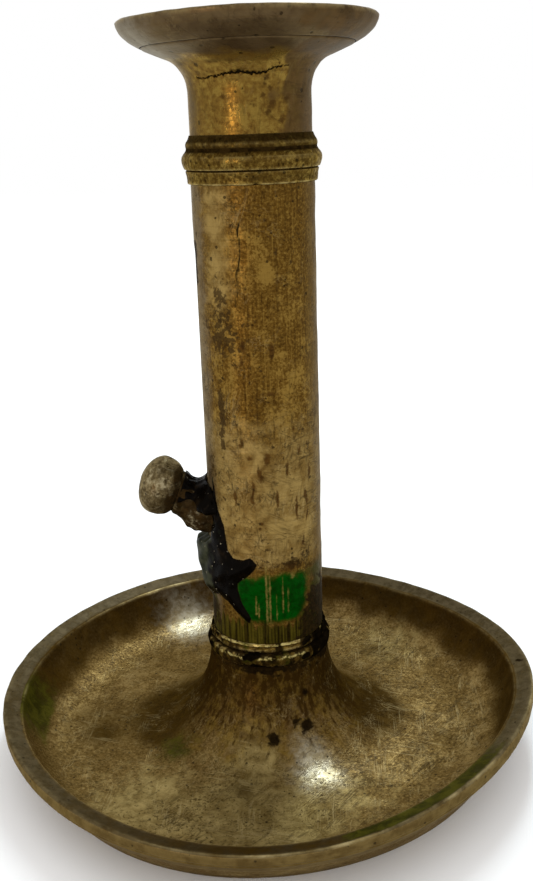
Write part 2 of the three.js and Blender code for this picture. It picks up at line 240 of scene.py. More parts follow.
@dataclass(frozen=True)
class Section:
    """A turned section with rounded corners, as (radius, height) points and what stands proud or lies low."""

    points: Array
    edge: Array
    recess: Array
    closed: bool

    @classmethod
    def smoothed(cls, corners: Array, closed: bool = True, step: float = 0.6, rounding: float = 0.09,
                 fine: tuple[float, float, float] = (0.0, 0.0, 1.0)) -> "Section":
        """Rounds the corners of a section and spaces its points closer where it bends.

        The outline is sampled closely and smoothed by a Gaussian. What stands proud or lies low is measured
        against the same outline smoothed more widely. A section that ends on the axis is mirrored in it.

        Args:
            corners: Corners in counter-clockwise order, outside going up.
            closed: True where the section closes on itself, False where both its ends lie on the axis.
            step: Largest distance between points in millimetres.
            rounding: Width of the smoothing in millimetres.
            fine: Heights between which the points lie closer, and how many times closer.

        Returns:
            The section.
        """
        line = corners if closed else np.vstack([corners, corners[-2:0:-1] * (-1.0, 1.0)])
        ring = np.vstack([line, line[:1]])
        run = np.concatenate([[0.0], np.cumsum(np.hypot(*np.diff(ring, axis=0).T))])
        count = int(run[-1] / SAMPLE)
        pace = run[-1] / count
        along = np.arange(count) * pace
        raw = np.stack([np.interp(along, run, ring[:, k]) for k in (0, 1)], -1)

        def blurred(width: float) -> Array:
            """The outline with its Fourier terms weighted by a Gaussian of that width."""
            weight = np.exp(-2.0 * (np.pi * np.fft.rfftfreq(count, pace) * width) ** 2)
            return np.fft.irfft(np.fft.rfft(raw, axis=0) * weight[:, None], count, axis=0)

        soft = blurred(rounding)
        tangent = np.roll(soft, -1, 0) - np.roll(soft, 1, 0)
        tangent /= np.linalg.norm(tangent, axis=1)[:, None]
        normal = np.stack([tangent[:, 1], -tangent[:, 0]], -1)
        after = np.roll(tangent, -1, 0)
        bend = np.abs(tangent[:, 0] * after[:, 1] - tangent[:, 1] * after[:, 0]) / pace
        proud = ((soft - blurred(PROUD_WIDTH)) * normal).sum(1)
        low = -((soft - blurred(LOW_WIDTH)) * normal).sum(1)
        crowd = 1.0 / step + BEND_POINTS * bend
        crowd = crowd * np.where((soft[:, 1] > fine[0]) & (soft[:, 1] < fine[1]), fine[2], 1.0)
        share = np.concatenate([[0.0], np.cumsum(crowd) * pace])
        stations = np.arange(count + 1) * pace
        last = run[-1] if closed else run[len(corners) - 1]
        total = np.interp(last, stations, share)
        spots = np.interp(np.linspace(0.0, total, int(total) + 2, endpoint=not closed), share, stations)

        def at(value: Array) -> Array:
            """A value of the fine outline at the chosen spots."""
            return np.interp(spots, stations, np.append(value, value[0]))

        points = np.stack([at(soft[:, 0]), at(soft[:, 1])], -1)
        if not closed:
            points[[0, -1], 0] = 0.0
        return cls(points, eased(0.02, 0.13, at(proud)), eased(0.03, 0.2, at(low)), closed)


@dataclass
class Skin:
    """A surface as a grid of points in millimetres, rows along a section or path and columns round it."""

    points: Array
    values: dict[str, Array] = field(default_factory=dict)
    loop_rows: bool = False
    loop_columns: bool = True
    keep: Union[Array, None] = None

    def faces(self, first: int) -> Array:
        """Four-sided faces between neighbouring rows and columns.

        Args:
            first: Number of the grid's first vertex in the whole mesh.

        Returns:
            Vertex numbers, one row a face.
        """
        rows, columns = self.points.shape[:2]
        number = first + np.arange(rows * columns).reshape(rows, columns)
        number = np.vstack([number, number[:1]]) if self.loop_rows else number
        number = np.hstack([number, number[:, :1]]) if self.loop_columns else number
        low, high = number[:-1], number[1:]
        quads = np.stack([low[:, :-1], low[:, 1:], high[:, 1:], high[:, :-1]], -1)
        return quads[self.keep] if self.keep is not None else quads.reshape(-1, 4)


def turned(section: Section, phi: Array) -> tuple[Skin, Array, Array, Array]:
    """A section carried round the Z axis.

    Args:
        section: The section.
        phi: Angles of the columns in radians.

    Returns:
        The surface, and the radius, angle and height of each of its points.
    """
    radius = np.repeat(section.points[:, :1], len(phi), 1)
    height = np.repeat(section.points[:, 1:], len(phi), 1)
    angle = np.repeat(phi[None, :], len(radius), 0)
    values = {name: np.repeat(value[:, None], len(phi), 1)
              for name, value in (("edge", section.edge), ("recess", section.recess))}
    return Skin(round_points(radius, angle, height), values, section.closed), radius, angle, height


WELD = 2e-6  # metres within which points count as one


def make_piece(name: str, skins: Sequence[Skin], weld: bool = False) -> Piece:
    """Puts surfaces into one smooth mesh object at the origin.

    Args:
        name: Name of the object.
        skins: Surfaces, in millimetres.
        weld: True to merge points that coincide and turn the faces outwards.

    Returns:
        The object, in the scene.
    """
    first, faces = 0, []
    for skin in skins:
        faces.append(skin.faces(first))
        first += skin.points.shape[0] * skin.points.shape[1]
    points = np.concatenate([skin.points.reshape(-1, 3) for skin in skins]) * MM
    mesh = bpy.data.meshes.new(name)
    mesh.from_pydata(points.tolist(), [], np.concatenate(faces).tolist())
    for key in sorted({key for skin in skins for key in skin.values}):
        flat = [np.broadcast_to(skin.values.get(key, np.zeros(1)), skin.points.shape[:2]).ravel()
                for skin in skins]
        layer = mesh.attributes.new(key, "FLOAT", "POINT")
        layer.data.foreach_set("value", np.concatenate(flat).astype(np.float32))
    if weld:
        shape = bmesh.new()
        shape.from_mesh(mesh)
        bmesh.ops.remove_doubles(shape, verts=shape.verts, dist=WELD)
        bmesh.ops.delete(shape, geom=[v for v in shape.verts if not v.link_faces], context="VERTS")
        bmesh.ops.recalc_face_normals(shape, faces=shape.faces)
        shape.to_mesh(mesh)
        shape.free()
    mesh.polygons.foreach_set("use_smooth", np.ones(len(mesh.polygons), bool))
    mesh.update()
    piece = bpy.data.objects.new(name, mesh)
    bpy.context.scene.collection.objects.link(piece)
    return piece


def place_piece(piece: Piece, body: Body, slot: Slot, material: Material,
                *nodes: str) -> None:
    """Gives a piece its finish, its body and the solids that it stands for, and logs it.

    Args:
        piece: The piece.
        body: The body that it rides on.
        slot: Its material slot; not used.
        material: Its finish.
        nodes: Names of the solids that it stands for, if any.
    """
    piece.data.materials.clear()
    piece.data.materials.append(material)
    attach(piece, body.value)
    if nodes:
        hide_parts(*nodes)
    LOG.info("%s: %d faces, rides on %s", piece.name, len(piece.data.polygons), body.value)


# Finishes


class Board:
    """A node tree with short ways to add nodes and join them."""

    def __init__(self, tree: Tree) -> None:
        """Keeps the tree that the nodes go into."""
        self.tree = tree

    def feed(self, socket: Socket, value: Feed) -> None:
        """Links a socket to the input, or sets the input to a number, vector or colour.

        Args:
            socket: The input.
            value: What goes into it.
        """
        if isinstance(value, Socket):
            self.tree.links.new(value, socket)
        elif socket.type == "RGBA" and len(value) == 3:
            socket.default_value = (*value, 1.0)
        else:
            socket.default_value = value

    def add(self, kind: str, inputs: Mapping[Union[str, int], Feed], **settings: object) -> bpy.types.Node:
        """Adds a node.

        Args:
            kind: Blender's name of the node, without the leading ShaderNode.
            inputs: What goes into its sockets, by name or number.
            settings: Properties of the node.

        Returns:
            The node.
        """
        node = self.tree.nodes.new("ShaderNode" + kind)
        for name, value in settings.items():
            setattr(node, name, value)
        for name, value in inputs.items():
            self.feed(node.inputs[name], value)
        return node

    def math(self, operation: str, a: Feed, b: Feed = 0.0, c: Feed = 0.0, clamp: bool = False) -> Socket:
        """A sum, product or other arithmetic of up to three values."""
        return self.add("Math", {0: a, 1: b, 2: c}, operation=operation, use_clamp=clamp).outputs[0]

    def times(self, a: Feed, b: Feed) -> Socket:
        """The product of two values, kept between 0 and 1."""
        return self.math("MULTIPLY", a, b, clamp=True)

    def step(self, value: Feed, low: Feed, high: Feed) -> Socket:
        """Eased step of a value from 0 at low to 1 at high."""
        sockets = {"Value": value, "From Min": low, "From Max": high}
        return self.add("MapRange", sockets, interpolation_type="SMOOTHSTEP").outputs["Result"]

    def between(self, value: Feed, low: float, high: float) -> Socket:
        """A share from 0 to 1 carried to the range from low to high."""
        return self.math("MULTIPLY_ADD", value, high - low, low)

    def mix(self, share: Feed, a: Feed, b: Feed) -> Socket:
        """Colour b over colour a by a share."""
        return self.add("Mix", {0: share, 6: a, 7: b}, data_type="RGBA").outputs[2]

    def blend(self, share: Feed, a: Feed, b: Feed) -> Socket:
        """Value b in place of value a by a share."""
        return self.add("Mix", {0: share, 2: a, 3: b}, data_type="FLOAT").outputs[0]

    def noise(self, vector: Feed, scale: Feed, detail: float = 3.0, rough: float = 0.55,
              twist: float = 0.0) -> Socket:
        """Cloudy noise of the given scale, about 0.5 on average."""
        sockets = {"Vector": vector, "Scale": scale, "Detail": detail, "Roughness": rough, "Distortion": twist}
        return self.add("TexNoise", sockets).outputs[0]

    def stretch(self, vector: Feed, tilt: float, turn: float, along: Feed, across: float) -> Socket:
        """A vector turned, then scaled on its first axis apart from the other two.

        Args:
            vector: The vector.
            tilt: Angle about Y in radians.
            turn: Angle about Z in radians.
            along: Factor on the first axis.
            across: Factor on the other two.

        Returns:
            The new vector.
        """
        spun = self.add("Mapping", {"Vector": vector, "Rotation": (0.0, tilt, turn)}).outputs[0]
        factors = self.xyz(along, across, across)
        return self.add("VectorMath", {0: spun, 1: factors}, operation="MULTIPLY").outputs[0]

    def xyz(self, x: Feed = 0.0, y: Feed = 0.0, z: Feed = 0.0) -> Socket:
        """A vector of three values."""
        return self.add("CombineXYZ", {0: x, 1: y, 2: z}).outputs[0]

    def scaled(self, vector: Feed, factor: Feed) -> Socket:
        """A vector times a factor."""
        return self.add("VectorMath", {0: vector, 3: factor}, operation="SCALE").outputs[0]

    def parts(self, vector: Feed) -> tuple[Socket, Socket]:
        """A vector's part square to the Z axis, and its height."""
        x, y, z = self.add("SeparateXYZ", {0: vector}).outputs
        return self.xyz(x, y), z

    def bump(self, height: Feed, strength: float, distance: float) -> Socket:
        """The normal over a height in shares of a distance in metres."""
        return self.add("Bump", {"Height": height, "Strength": strength, "Distance": distance}).outputs[0]

    def surface(self, **inputs: Feed) -> None:
        """Ends a material in one shader with the given inputs, named with _ for a space."""
        shader = self.add("BsdfPrincipled", {name.replace("_", " "): value for name, value in inputs.items()})
        self.add("OutputMaterial", {"Surface": shader.outputs[0]})

    def attribute(self, name: str) -> Socket:
        """A value that the piece's mesh carries at each point."""
        return self.add("Attribute", {}, attribute_name=name).outputs["Fac"]

    def group(self, tree: Tree, **inputs: Feed) -> Mapping[str, Socket]:
        """Places a shared effect.

        Args:
            tree: The effect's node group.
            inputs: What goes into its named sockets.

        Returns:
            Its outputs by name.
        """
        node = self.tree.nodes.new("ShaderNodeGroup")
        node.node_tree = tree
        for name, value in inputs.items():
            self.feed(node.inputs[name], value)
        return {socket.name: socket for socket in node.outputs}


class Effects:
    """The effects that several finishes share, each a node group made once."""

    KINDS = {"Vector": "Vector", "Place": "Vector", "Colour": "Color", "Bright": "Color", "Middle": "Color",
             "Deep": "Color"}

    def _open(self, name: str, takes: str, gives: str) -> tuple[Board, Mapping[str, Socket], list[Socket]]:
        """Starts a node group.

        Args:
            name: Name of the group.
            takes: Names of its inputs; those that KINDS doesn't list are plain values.
            gives: Names of its outputs.

        Returns:
            The board to add nodes to, the output sockets by name and the input values in order.
        """
        tree = bpy.data.node_groups.new(name, "ShaderNodeTree")
        for side, names in (("INPUT", takes), ("OUTPUT", gives)):
            for key in names.split():
                kind = "NodeSocket" + self.KINDS.get(key, "Float")
                tree.interface.new_socket(name=key, in_out=side, socket_type=kind)
        start, end = tree.nodes.new("NodeGroupInput"), tree.nodes.new("NodeGroupOutput")
        return (Board(tree), {socket.name: socket for socket in end.inputs if socket.name},
                [socket for socket in start.outputs if socket.name])

    @cached_property
    def tarnish(self) -> Tree:
        """Three tones of old brass in patches, with finer cloud inside the patches.

        Returns:
            The node group.
        """
        board, out, (place, bright, middle, deep, patch_scale, grain_scale, uneven, balance) = self._open(
            "tarnish", "Vector Bright Middle Deep Patch Grain Blotch Balance", "Colour Dull Height")
        patch = board.noise(place, patch_scale, 3.0, 0.6, 0.5)
        cloud = board.noise(place, board.math("MULTIPLY", patch_scale, 4.3), 4.0, 0.65, 0.2)
        grain = board.noise(place, grain_scale, 3.0, 0.7)
        blotch = board.math("MULTIPLY_ADD", cloud, 1.2, board.math("SUBTRACT", patch, 1.1))
        blotch = board.times(blotch, uneven)
        level = board.math("MULTIPLY_ADD", grain, 0.9, board.math("ADD", blotch, balance))
        level = board.math("ADD", level, 0.05)
        lift, shine = board.step(level, 0.3, 0.55), board.step(level, 0.5, 0.76)
        tone = board.mix(lift, deep, middle)
        polish = board.math("MULTIPLY_ADD", shine, 0.5, board.times(lift, 0.5))
        board.feed(out["Colour"], board.mix(shine, tone, bright))
        board.feed(out["Dull"], board.math("SUBTRACT", 1.0, polish))
        board.feed(out["Height"], board.math("MULTIPLY_ADD", cloud, 0.6, board.times(grain, 0.4)))
        return board.tree

    @cached_property
    def streaks(self) -> Tree:
        """Streaks that run up a round wall: noise on the direction from the axis, drawn out along the height.

        Returns:
            The node group.
        """
        board, out, (place, scale, run) = self._open("streaks", "Vector Scale Run", "Light Dark Place")
        flat, height = board.parts(place)
        heading = board.add("VectorMath", {0: flat}, operation="NORMALIZE").outputs[0]
        rise = board.xyz(z=board.math("MULTIPLY", height, run))
        wide = board.scaled(heading, scale)
        spot = board.add("VectorMath", {0: wide, 1: rise}, operation="ADD").outputs[0]
        fine = board.noise(spot, 1.0, 4.0, 0.7, 0.15)
        board.feed(out["Place"], spot)
        board.feed(out["Light"], board.step(fine, 0.54, 0.7))
        board.feed(out["Dark"], board.step(fine, 0.46, 0.32))
        return board.tree

    @cached_property
    def scratches(self) -> Tree:
        """Fine scratches in six directions: thin level lines of drawn-out noise, broken up by a wider noise.

        Returns:
            The node group, with three directions in each of its two outputs.
        """
        board, out, (place, scale, draw, width, cut, cover) = self._open(
            "scratches", "Vector Scale Draw Width Cut Cover", "Light Dark")
        scaled = board.scaled(place, scale)
        least = board.math("SUBTRACT", 0.62, board.times(cover, 0.14))
        for side, headings in (("Light", ((0.0, 0.35), (0.3, 1.65), (1.2, 0.1))),
                               ("Dark", ((0.0, 2.25), (-0.5, 2.9), (1.5, -0.2)))):
            most: Feed = 0.0
            for tilt, turn in headings:
                lines = board.noise(board.stretch(scaled, tilt, turn, draw, 1.0), 1.0, 1.0, 0.4, 0.15)
                off_level = board.math("ABSOLUTE", board.math("SUBTRACT", lines, 0.5))
                patch = board.noise(board.stretch(scaled, tilt, turn + 0.1, 0.06, 0.16), cut, 2.0)
                thin, here = board.step(off_level, width, 0.0), board.step(patch, least, 0.66)
                most = board.math("MAXIMUM", most, board.times(thin, here))
            board.feed(out[side], board.times(most, cover))
        return board.tree

    @cached_property
    def pits(self) -> Tree:
        """Scattered specks: cells of random size, of which only a share holds a speck.

        Returns:
            The node group.
        """
        board, out, (place, scale, cover) = self._open("pits", "Vector Scale Cover", "Mask")
        cells = board.add("TexVoronoi", {"Vector": place, "Scale": scale})
        chance = board.add("SeparateXYZ", {0: cells.outputs["Color"]}).outputs
        chosen = board.math("LESS_THAN", chance[0], cover)
        size = board.between(chance[1], 0.08, 0.34)
        wobble = board.math("MULTIPLY_ADD", board.noise(place, board.math("MULTIPLY", scale, 3.0)), 0.3,
                            board.math("SUBTRACT", cells.outputs["Distance"], 0.15))
        speck = board.step(board.math("SUBTRACT", wobble, size), 0.05, -0.05)
        board.feed(out["Mask"], board.times(chosen, speck))
        return board.tree

    @cached_property
    def turning(self) -> Tree:
        """Fine lines round a turned piece: noise on the radius and the height alone.

        Returns:
            The node group.
        """
        board, out, (place, scale) = self._open("turning", "Vector Scale", "Line")
        flat, height = board.parts(place)
        radius = board.add("VectorMath", {0: flat}, operation="LENGTH").outputs["Value"]
        board.feed(out["Line"], board.noise(board.xyz(radius, 0.0, height), scale, 3.0, 0.7))
        return board.tree

    @cached_property
    def handling(self) -> Tree:
        """Rubbed edges and dirt in the corners, both broken up by noise.

        Returns:
            The node group.
        """
        board, out, (place, edge, recess) = self._open("handling", "Vector Edge Recess", "Rubbed Dirt")
        break_up = board.noise(place, 420.0, 4.0, 0.65)
        board.feed(out["Rubbed"], board.times(edge, board.step(break_up, 0.34, 0.6)))
        dirt = board.math("MULTIPLY_ADD", board.math("SUBTRACT", break_up, 0.5), 0.9, recess)
        board.feed(out["Dirt"], board.times(board.step(dirt, 0.12, 0.62), board.step(recess, 0.0, 0.15)))
        return board.tree

    @cached_property
    def ragged(self) -> Tree:
        """A soft mask with a ragged border: noise is added to it before it is cut at a half.

        Returns:
            The node group.
        """
        board, out, (place, mask, scale, fray, soft) = self._open(
            "ragged", "Vector Mask Scale Fray Soft", "Mask Cloud")
        cloud = board.noise(place, scale, 4.0, 0.65, 0.3)
        frayed = board.math("MULTIPLY_ADD", board.math("SUBTRACT", cloud, 0.5), fray, mask)
        cut = board.step(frayed, board.math("SUBTRACT", 0.5, soft), board.math("ADD", 0.5, soft))
        board.feed(out["Mask"], board.times(cut, board.step(mask, 0.0, 0.08)))
        board.feed(out["Cloud"], board.step(cloud, 0.36, 0.64))
        return board.tree


EFFECTS = Effects()


def blank_material(name: str) -> tuple[Material, Board]:
    """Starts a material without nodes.

    Args:
        name: Name of the material.

    Returns:
        The material, and a board on its node tree.
    """
    material = bpy.data.materials.new(name)
    material.use_nodes = True
    material.node_tree.nodes.clear()
    return material, Board(material.node_tree)


@dataclass(frozen=True)
class Stain:
    """Something on the brass, or painted light or shade, laid where the mesh carries a value of that name.

    Scale, fray and soft shape its ragged border, drawn follows the streaks, and under lies below the marks.
    """

    value: str
    colour: Colour
    deep: Colour
    strength: float = 1.0
    rough: float = 0.5
    metal: float = 0.4
    fray: float = 0.8
    soft: float = 0.18
    scale: float = 450.0
    lift: float = 0.0
    drawn: bool = False
    under: bool = False


BARE_METAL = 0.3  # a stain with more metal than this leaves the brass bare
DIRT_COVER, DIRT_ROUGH, DIRT_METAL = 0.92, 0.7, 0.15
RUBBED_COVER, RUBBED_ROUGH = 0.7, 0.24


@dataclass(frozen=True)
class Brass:
    """Old brass: patches, streaks, lathe lines, scratches, specks, rubbed edges and dirt, and stains and
    painted light and shade on top.
    """

    name: str
    bright: Colour
    middle: Colour
    dark: Colour
    balance: float = 0.0
    patch: float = 70.0
    grain: float = 900.0
    blotch: float = 1.0
    streak: float = 0.0
    streak_scale: float = 22.0
    streak_run: float = 60.0
    streak_where: str = ""
    turned: float = 0.0
    turned_scale: float = 2400.0
    scratch: float = 0.0
    scratch_scale: float = 1500.0
    tick: float = 0.0
    tick_scale: float = 1500.0
    mark_where: str = ""
    speck: float = 0.0
    speck_scale: float = 900.0
    rubbed: Colour = paint(166, 146, 100)
    dirt: Colour = paint(26, 18, 7)
    rub: float = 0.7
    polish: float = 0.3
    dull: float = 0.5
    clean: float = 0.7
    filmed: float = 0.35
    coat: float = 0.0
    sheen: float = 0.0
    tint: Colour = (0.84, 0.75, 0.56)
    bump: float = 0.25
    stains: tuple[Stain, ...] = ()

    @staticmethod
    def lay(board: Board, look: Look, stain: Stain, place: Socket) -> None:
        """Lays a stain, or painted light or shade, over what is there.

        Args:
            board: The material's nodes.
            look: Colour, rough, metal, bare and height so far; changed here.
            stain: The stain.
            place: The coordinates its ragged border is drawn in.
        """
        laid = board.group(EFFECTS.ragged, Vector=place, Mask=board.attribute(stain.value), Scale=stain.scale,
                           Fray=stain.fray, Soft=stain.soft)
        mask = board.times(laid["Mask"], stain.strength)
        look["colour"] = board.mix(mask, look["colour"], board.mix(laid["Cloud"], stain.deep, stain.colour))
        for name, value in (("rough", stain.rough), ("metal", stain.metal),
                            ("bare", float(stain.metal > BARE_METAL))):
            look[name] = board.blend(mask, look[name], value)
        if stain.lift:
            look["height"] = board.math("MULTIPLY_ADD", mask, stain.lift, look["height"])

    def mark(self, board: Board, look: Look, place: Socket) -> None:
        """Draws lathe lines, specks, scratches and short dark ticks.

        Args:
            board: The material's nodes.
            look: Colour and height so far; changed here.
            place: Object coordinates.
        """
        def draw(mask: Socket, strength: float, colour: Colour, depth: float) -> None:
            """Mixes one kind of mark into the colour and the height."""
            look["colour"] = board.mix(board.times(mask, strength), look["colour"], colour)
            look["height"] = board.math("MULTIPLY_ADD", mask, depth, look["height"])

        if self.turned:
            line = board.group(EFFECTS.turning, Vector=place, Scale=self.turned_scale)["Line"]
            draw(board.step(line, 0.5, 0.34), self.turned, self.dark, -self.turned)
        if self.speck:
            pits = board.group(EFFECTS.pits, Vector=place, Scale=self.speck_scale, Cover=self.speck)
            draw(pits["Mask"], 0.75, self.dirt, -0.8)
        here: Feed = board.attribute(self.mark_where) if self.mark_where else 1.0
        if self.scratch:
            marks = board.group(EFFECTS.scratches, Vector=place, Scale=self.scratch_scale, Draw=0.03,
                                Width=0.06, Cut=1.0, Cover=board.times(here, self.scratch))
            draw(marks["Dark"], 0.7, self.dark, -0.5)
            draw(marks["Light"], 0.36, self.rubbed, -0.5)
        if self.tick:
            marks = board.group(EFFECTS.scratches, Vector=place, Scale=self.tick_scale, Draw=0.05,
                                Width=0.11, Cut=2.6, Cover=board.times(here, self.tick))
            draw(marks["Dark"], 0.65, self.dirt, -0.6)

    def wear(self, board: Board, look: Look, place: Socket) -> None:
        """Puts dirt into the corners and rubs the edges.

        Args:
            board: The material's nodes.
            look: Colour, rough, metal and bare so far; changed here.
            place: Object coordinates.
        """
        worn = board.group(EFFECTS.handling, Vector=place, Edge=board.attribute("edge"),
                           Recess=board.attribute("recess"))
        dirt, rubbed = worn["Dirt"], worn["Rubbed"]
        look["colour"] = board.mix(board.times(dirt, DIRT_COVER), look["colour"], self.dirt)
        look["colour"] = board.mix(board.times(rubbed, self.rub), look["colour"], self.rubbed)
        for name, value in (("rough", DIRT_ROUGH), ("metal", DIRT_METAL), ("bare", 0.0)):
            look[name] = board.blend(dirt, look[name], value)
        look["rough"] = board.blend(board.times(rubbed, RUBBED_COVER), look["rough"], RUBBED_ROUGH)

    def material(self) -> Material:
        """Makes the material: tarnish and streaks, soft stains and painted light and shade, marks, wear, then
        stains and painted highlights on top.

        Returns:
            A material that reads Object coordinates and the values on the mesh.
        """
        material, board = blank_material(self.name)
        place = drawn = board.add("TexCoord", {}).outputs["Object"]
        aged = board.group(EFFECTS.tarnish, Vector=place, Bright=self.bright, Middle=self.middle,
                           Deep=self.dark, Patch=self.patch, Grain=self.grain, Blotch=self.blotch,
                           Balance=self.balance)
        look: Look = {"colour": aged["Colour"], "height": aged["Height"], "bare": 1.0,
                      "rough": board.between(aged["Dull"], self.polish, self.dull),
                      "metal": board.between(aged["Dull"], self.clean, self.filmed)}
        if self.streak:
            where: Feed = board.attribute(self.streak_where) if self.streak_where else 1.0
            share = board.times(where, self.streak)
            lines = board.group(EFFECTS.streaks, Vector=place, Scale=self.streak_scale, Run=self.streak_run)
            for side, tone in (("Dark", self.dark), ("Light", self.bright)):
                look["colour"] = board.mix(board.times(lines[side], share), look["colour"], tone)
            drawn = lines["Place"]
        for under in (True, False):
            for stain in (stain for stain in self.stains if stain.under == under):
                self.lay(board, look, stain, drawn if stain.drawn else place)
            if under:
                self.mark(board, look, place)
                self.wear(board, look, place)
        board.surface(Base_Color=look["colour"], Roughness=look["rough"], Metallic=look["metal"],
                      Normal=board.bump(look["height"], self.bump, 0.0003), Specular_IOR_Level=self.sheen,
                      Specular_Tint=self.tint, Coat_Weight=board.times(look["bare"], self.coat),
                      Coat_Roughness=0.3)
        return material


@dataclass(frozen=True)
class Wax:
    """Black burnt wax and grey-green old wax, lumpy and half shiny, with glints."""

    name: str
    black: Colour = paint(6, 4, 2)
    brown: Colour = paint(22, 15, 6)
    grey: Colour = paint(58, 60, 44)
    grey_deep: Colour = paint(30, 33, 20)
    glint: Colour = paint(132, 124, 104)

    def material(self) -> Material:
        """Makes the material.

        Returns:
            A material in which the value grey on the mesh shows the old wax and the rest is black.
        """
        material, board = blank_material(self.name)
        place = board.add("TexCoord", {}).outputs["Object"]
        lumps = board.noise(place, 340.0, 4.0, 0.6, 0.3)
        grit = board.noise(place, 1500.0, 2.0, 0.6)
        laid = board.group(EFFECTS.ragged, Vector=place, Mask=board.attribute("grey"), Scale=380.0, Fray=0.7,
                           Soft=0.2)
        specks = board.group(EFFECTS.pits, Vector=place, Scale=1300.0, Cover=0.2)["Mask"]
        tar = board.mix(board.step(lumps, 0.5, 0.72), self.black, self.brown)
        old = board.mix(board.step(lumps, 0.35, 0.65), self.grey_deep, self.grey)
        colour = board.mix(laid["Mask"], tar, old)
        colour = board.mix(board.times(specks, board.step(grit, 0.5, 0.6)), colour, self.glint)
        rough = board.blend(laid["Mask"], board.between(lumps, 0.15, 0.4), board.between(lumps, 0.3, 0.6))
        height = board.math("MULTIPLY_ADD", grit, 0.25, lumps)
        board.surface(Base_Color=colour, Roughness=rough, Normal=board.bump(height, 0.25, 0.0006),
                      Specular_IOR_Level=0.02)
        return material


# Named stains and one painted shade, then the brass of each piece, with their values in the order of the fields
# of Stain and Brass.
GREEN_WAX = Stain("green", paint(0, 62, 4), paint(2, 42, 0), 1, 0.2, 0, 0.7, 0.42, 420, 0.6)
GREEN_SMEAR = Stain("smear", paint(52, 52, 10), paint(26, 26, 4), 0.9, 0.35, 0.3, 1.2, 0.3, 420)
BLACK_FILM = Stain("tar", paint(7, 5, 2), paint(17, 12, 5), 1, 0.5, 0, 0.7, 0.14, 520, 0.8)
GRIME = Stain("grime", paint(40, 28, 10), paint(14, 9, 3), 0.94, 0.6, 0.1, 1.8, 0.25, 900)
GROOVE = Stain("groove", paint(44, 31, 11), paint(22, 14, 4), 0.9, 0.55, 0.15, 1.2, 0.5, 700)
SOOT = Stain("soot", paint(52, 38, 18), paint(34, 23, 9), 0.8, 0.55, 0.3, 3, 0.16, 800)
SPLIT = Stain("split", paint(8, 5, 2), paint(14, 8, 3), 0.97, 0.8, 0, 0.25, 0.2, 900, -1)
SPOT = Stain("spot", paint(30, 21, 8), paint(16, 10, 4), 0.97, 0.6, 0.2, 1.5, 0.25, 900)
BAND = Stain("band", paint(76, 70, 18), paint(14, 13, 2), 0.9, 0.35, 0.3, 0.3, 0.35, 0.9, drawn=True)
# Painted shade: the right-hand side of the stem and of the nozzle, darker and less metallic.
SHADED_SIDE = Stain("dim", paint(98, 77, 38), paint(70, 51, 21), 0.7, 0.5, 0.2, 0.8, 0.45, 300, under=True)

PAN_BRASS = Brass(
    "pan_brass", paint(128, 106, 63), paint(97, 76, 38), paint(60, 44, 15), 0, 55, 1700, 0.85,
    streak=0.5, streak_scale=12, streak_run=430, streak_where="upright", turned=0.15, turned_scale=900,
    scratch=1, tick=0.8, tick_scale=1250, mark_where="scored", speck=0.1,
    speck_scale=1000, rubbed=paint(172, 154, 108), rub=0.8, polish=0.27, dull=0.42, clean=0.5, filmed=0.2,
    coat=0.03,
    # The pale stain paints pools of light on the floor.
    stains=(Stain("pale", paint(150, 131, 82), paint(112, 95, 54), 0.78, 0.36, 0.4, 1.3, 0.45, 300, under=True),
            Stain("gold", paint(108, 84, 26), paint(64, 40, 6), 0.6, 0.33, 0.4, 1.6, 0.45, 330, under=True),
            Stain("grey", paint(73, 64, 46), paint(48, 42, 28), 0.92, 0.42, 0.35, 0.8, 0.4, 420, under=True),
            # Dark brown wash: painted shade and the stem's painted reflection, with brown blots.
            Stain("shade", paint(54, 37, 6), paint(38, 24, 3), 0.9, 0.45, 0.3, 0.9, 0.5, 240, under=True),
            # Lighter outer wall: painted light from below.
            Stain("skirt", paint(102, 85, 48), paint(78, 62, 31), 0.9, 0.4, 0.4, 0.8, 0.4, 260, under=True),
            # Bright rubbed metal, coloured lighter as a painted highlight.
            Stain("worn", paint(186, 180, 158), paint(158, 149, 122), 0.7, 0.24, 0.9, 0.5, 0.5, 500,
                  under=True),
            Stain("green", paint(62, 60, 13), paint(34, 36, 5), 0.88, 0.4, 0.2, 1, 0.3, 300),
            Stain("soot", paint(60, 46, 20), paint(38, 27, 9), 0.75, 0.5, 0.3, 3, 0.16, 1200),
            Stain("runs", paint(46, 30, 7), paint(26, 16, 3), 0.9, 0.4, 0.25, 2.4, 0.25, 1.1, drawn=True),
            # Bright line: painted highlights on the rim's edges, and a scribed line on the outer wall.
            Stain("line", paint(172, 156, 112), paint(140, 122, 78), 0.8, 0.3, 0.7, 0.35, 0.45, 300), SPOT))
STEM_BRASS = Brass(
    "stem_brass", paint(124, 97, 43), paint(86, 61, 19), paint(50, 32, 8), 0.03, 60, 1800, 0.9,
    streak=0.7, streak_scale=24, streak_run=50, turned=0.2, turned_scale=2600,
    scratch=0.7, scratch_scale=1300, tick=0.9, tick_scale=1300, mark_where="scored", speck=0.08,
    sheen=0.025, bump=0.35,
    stains=(Stain("pale", paint(148, 124, 72), paint(110, 87, 45), 0.8, 0.36, 0.55, 1.4, 0.45, 300, under=True),
            # Greyer left side of the stem: a painted sheen.
            Stain("grey", paint(108, 95, 74), paint(82, 69, 50), 0.75, 0.4, 0.5, 0.8, 0.45, 300, under=True),
            # The first stain on this line darkens the right-hand side as painted shade.
            SHADED_SIDE, SOOT, Stain("spot", paint(74, 49, 17), paint(44, 27, 8), 0.92, 0.5, 0.3, 1.6, 0.25, 900),
            SPLIT, GREEN_SMEAR, BAND, GREEN_WAX, GRIME,
            Stain("scrape", paint(138, 118, 62), paint(92, 82, 32), 0.65, 0.3, 0.6, 1.6, 0.42, 700, -0.4),
            BLACK_FILM))
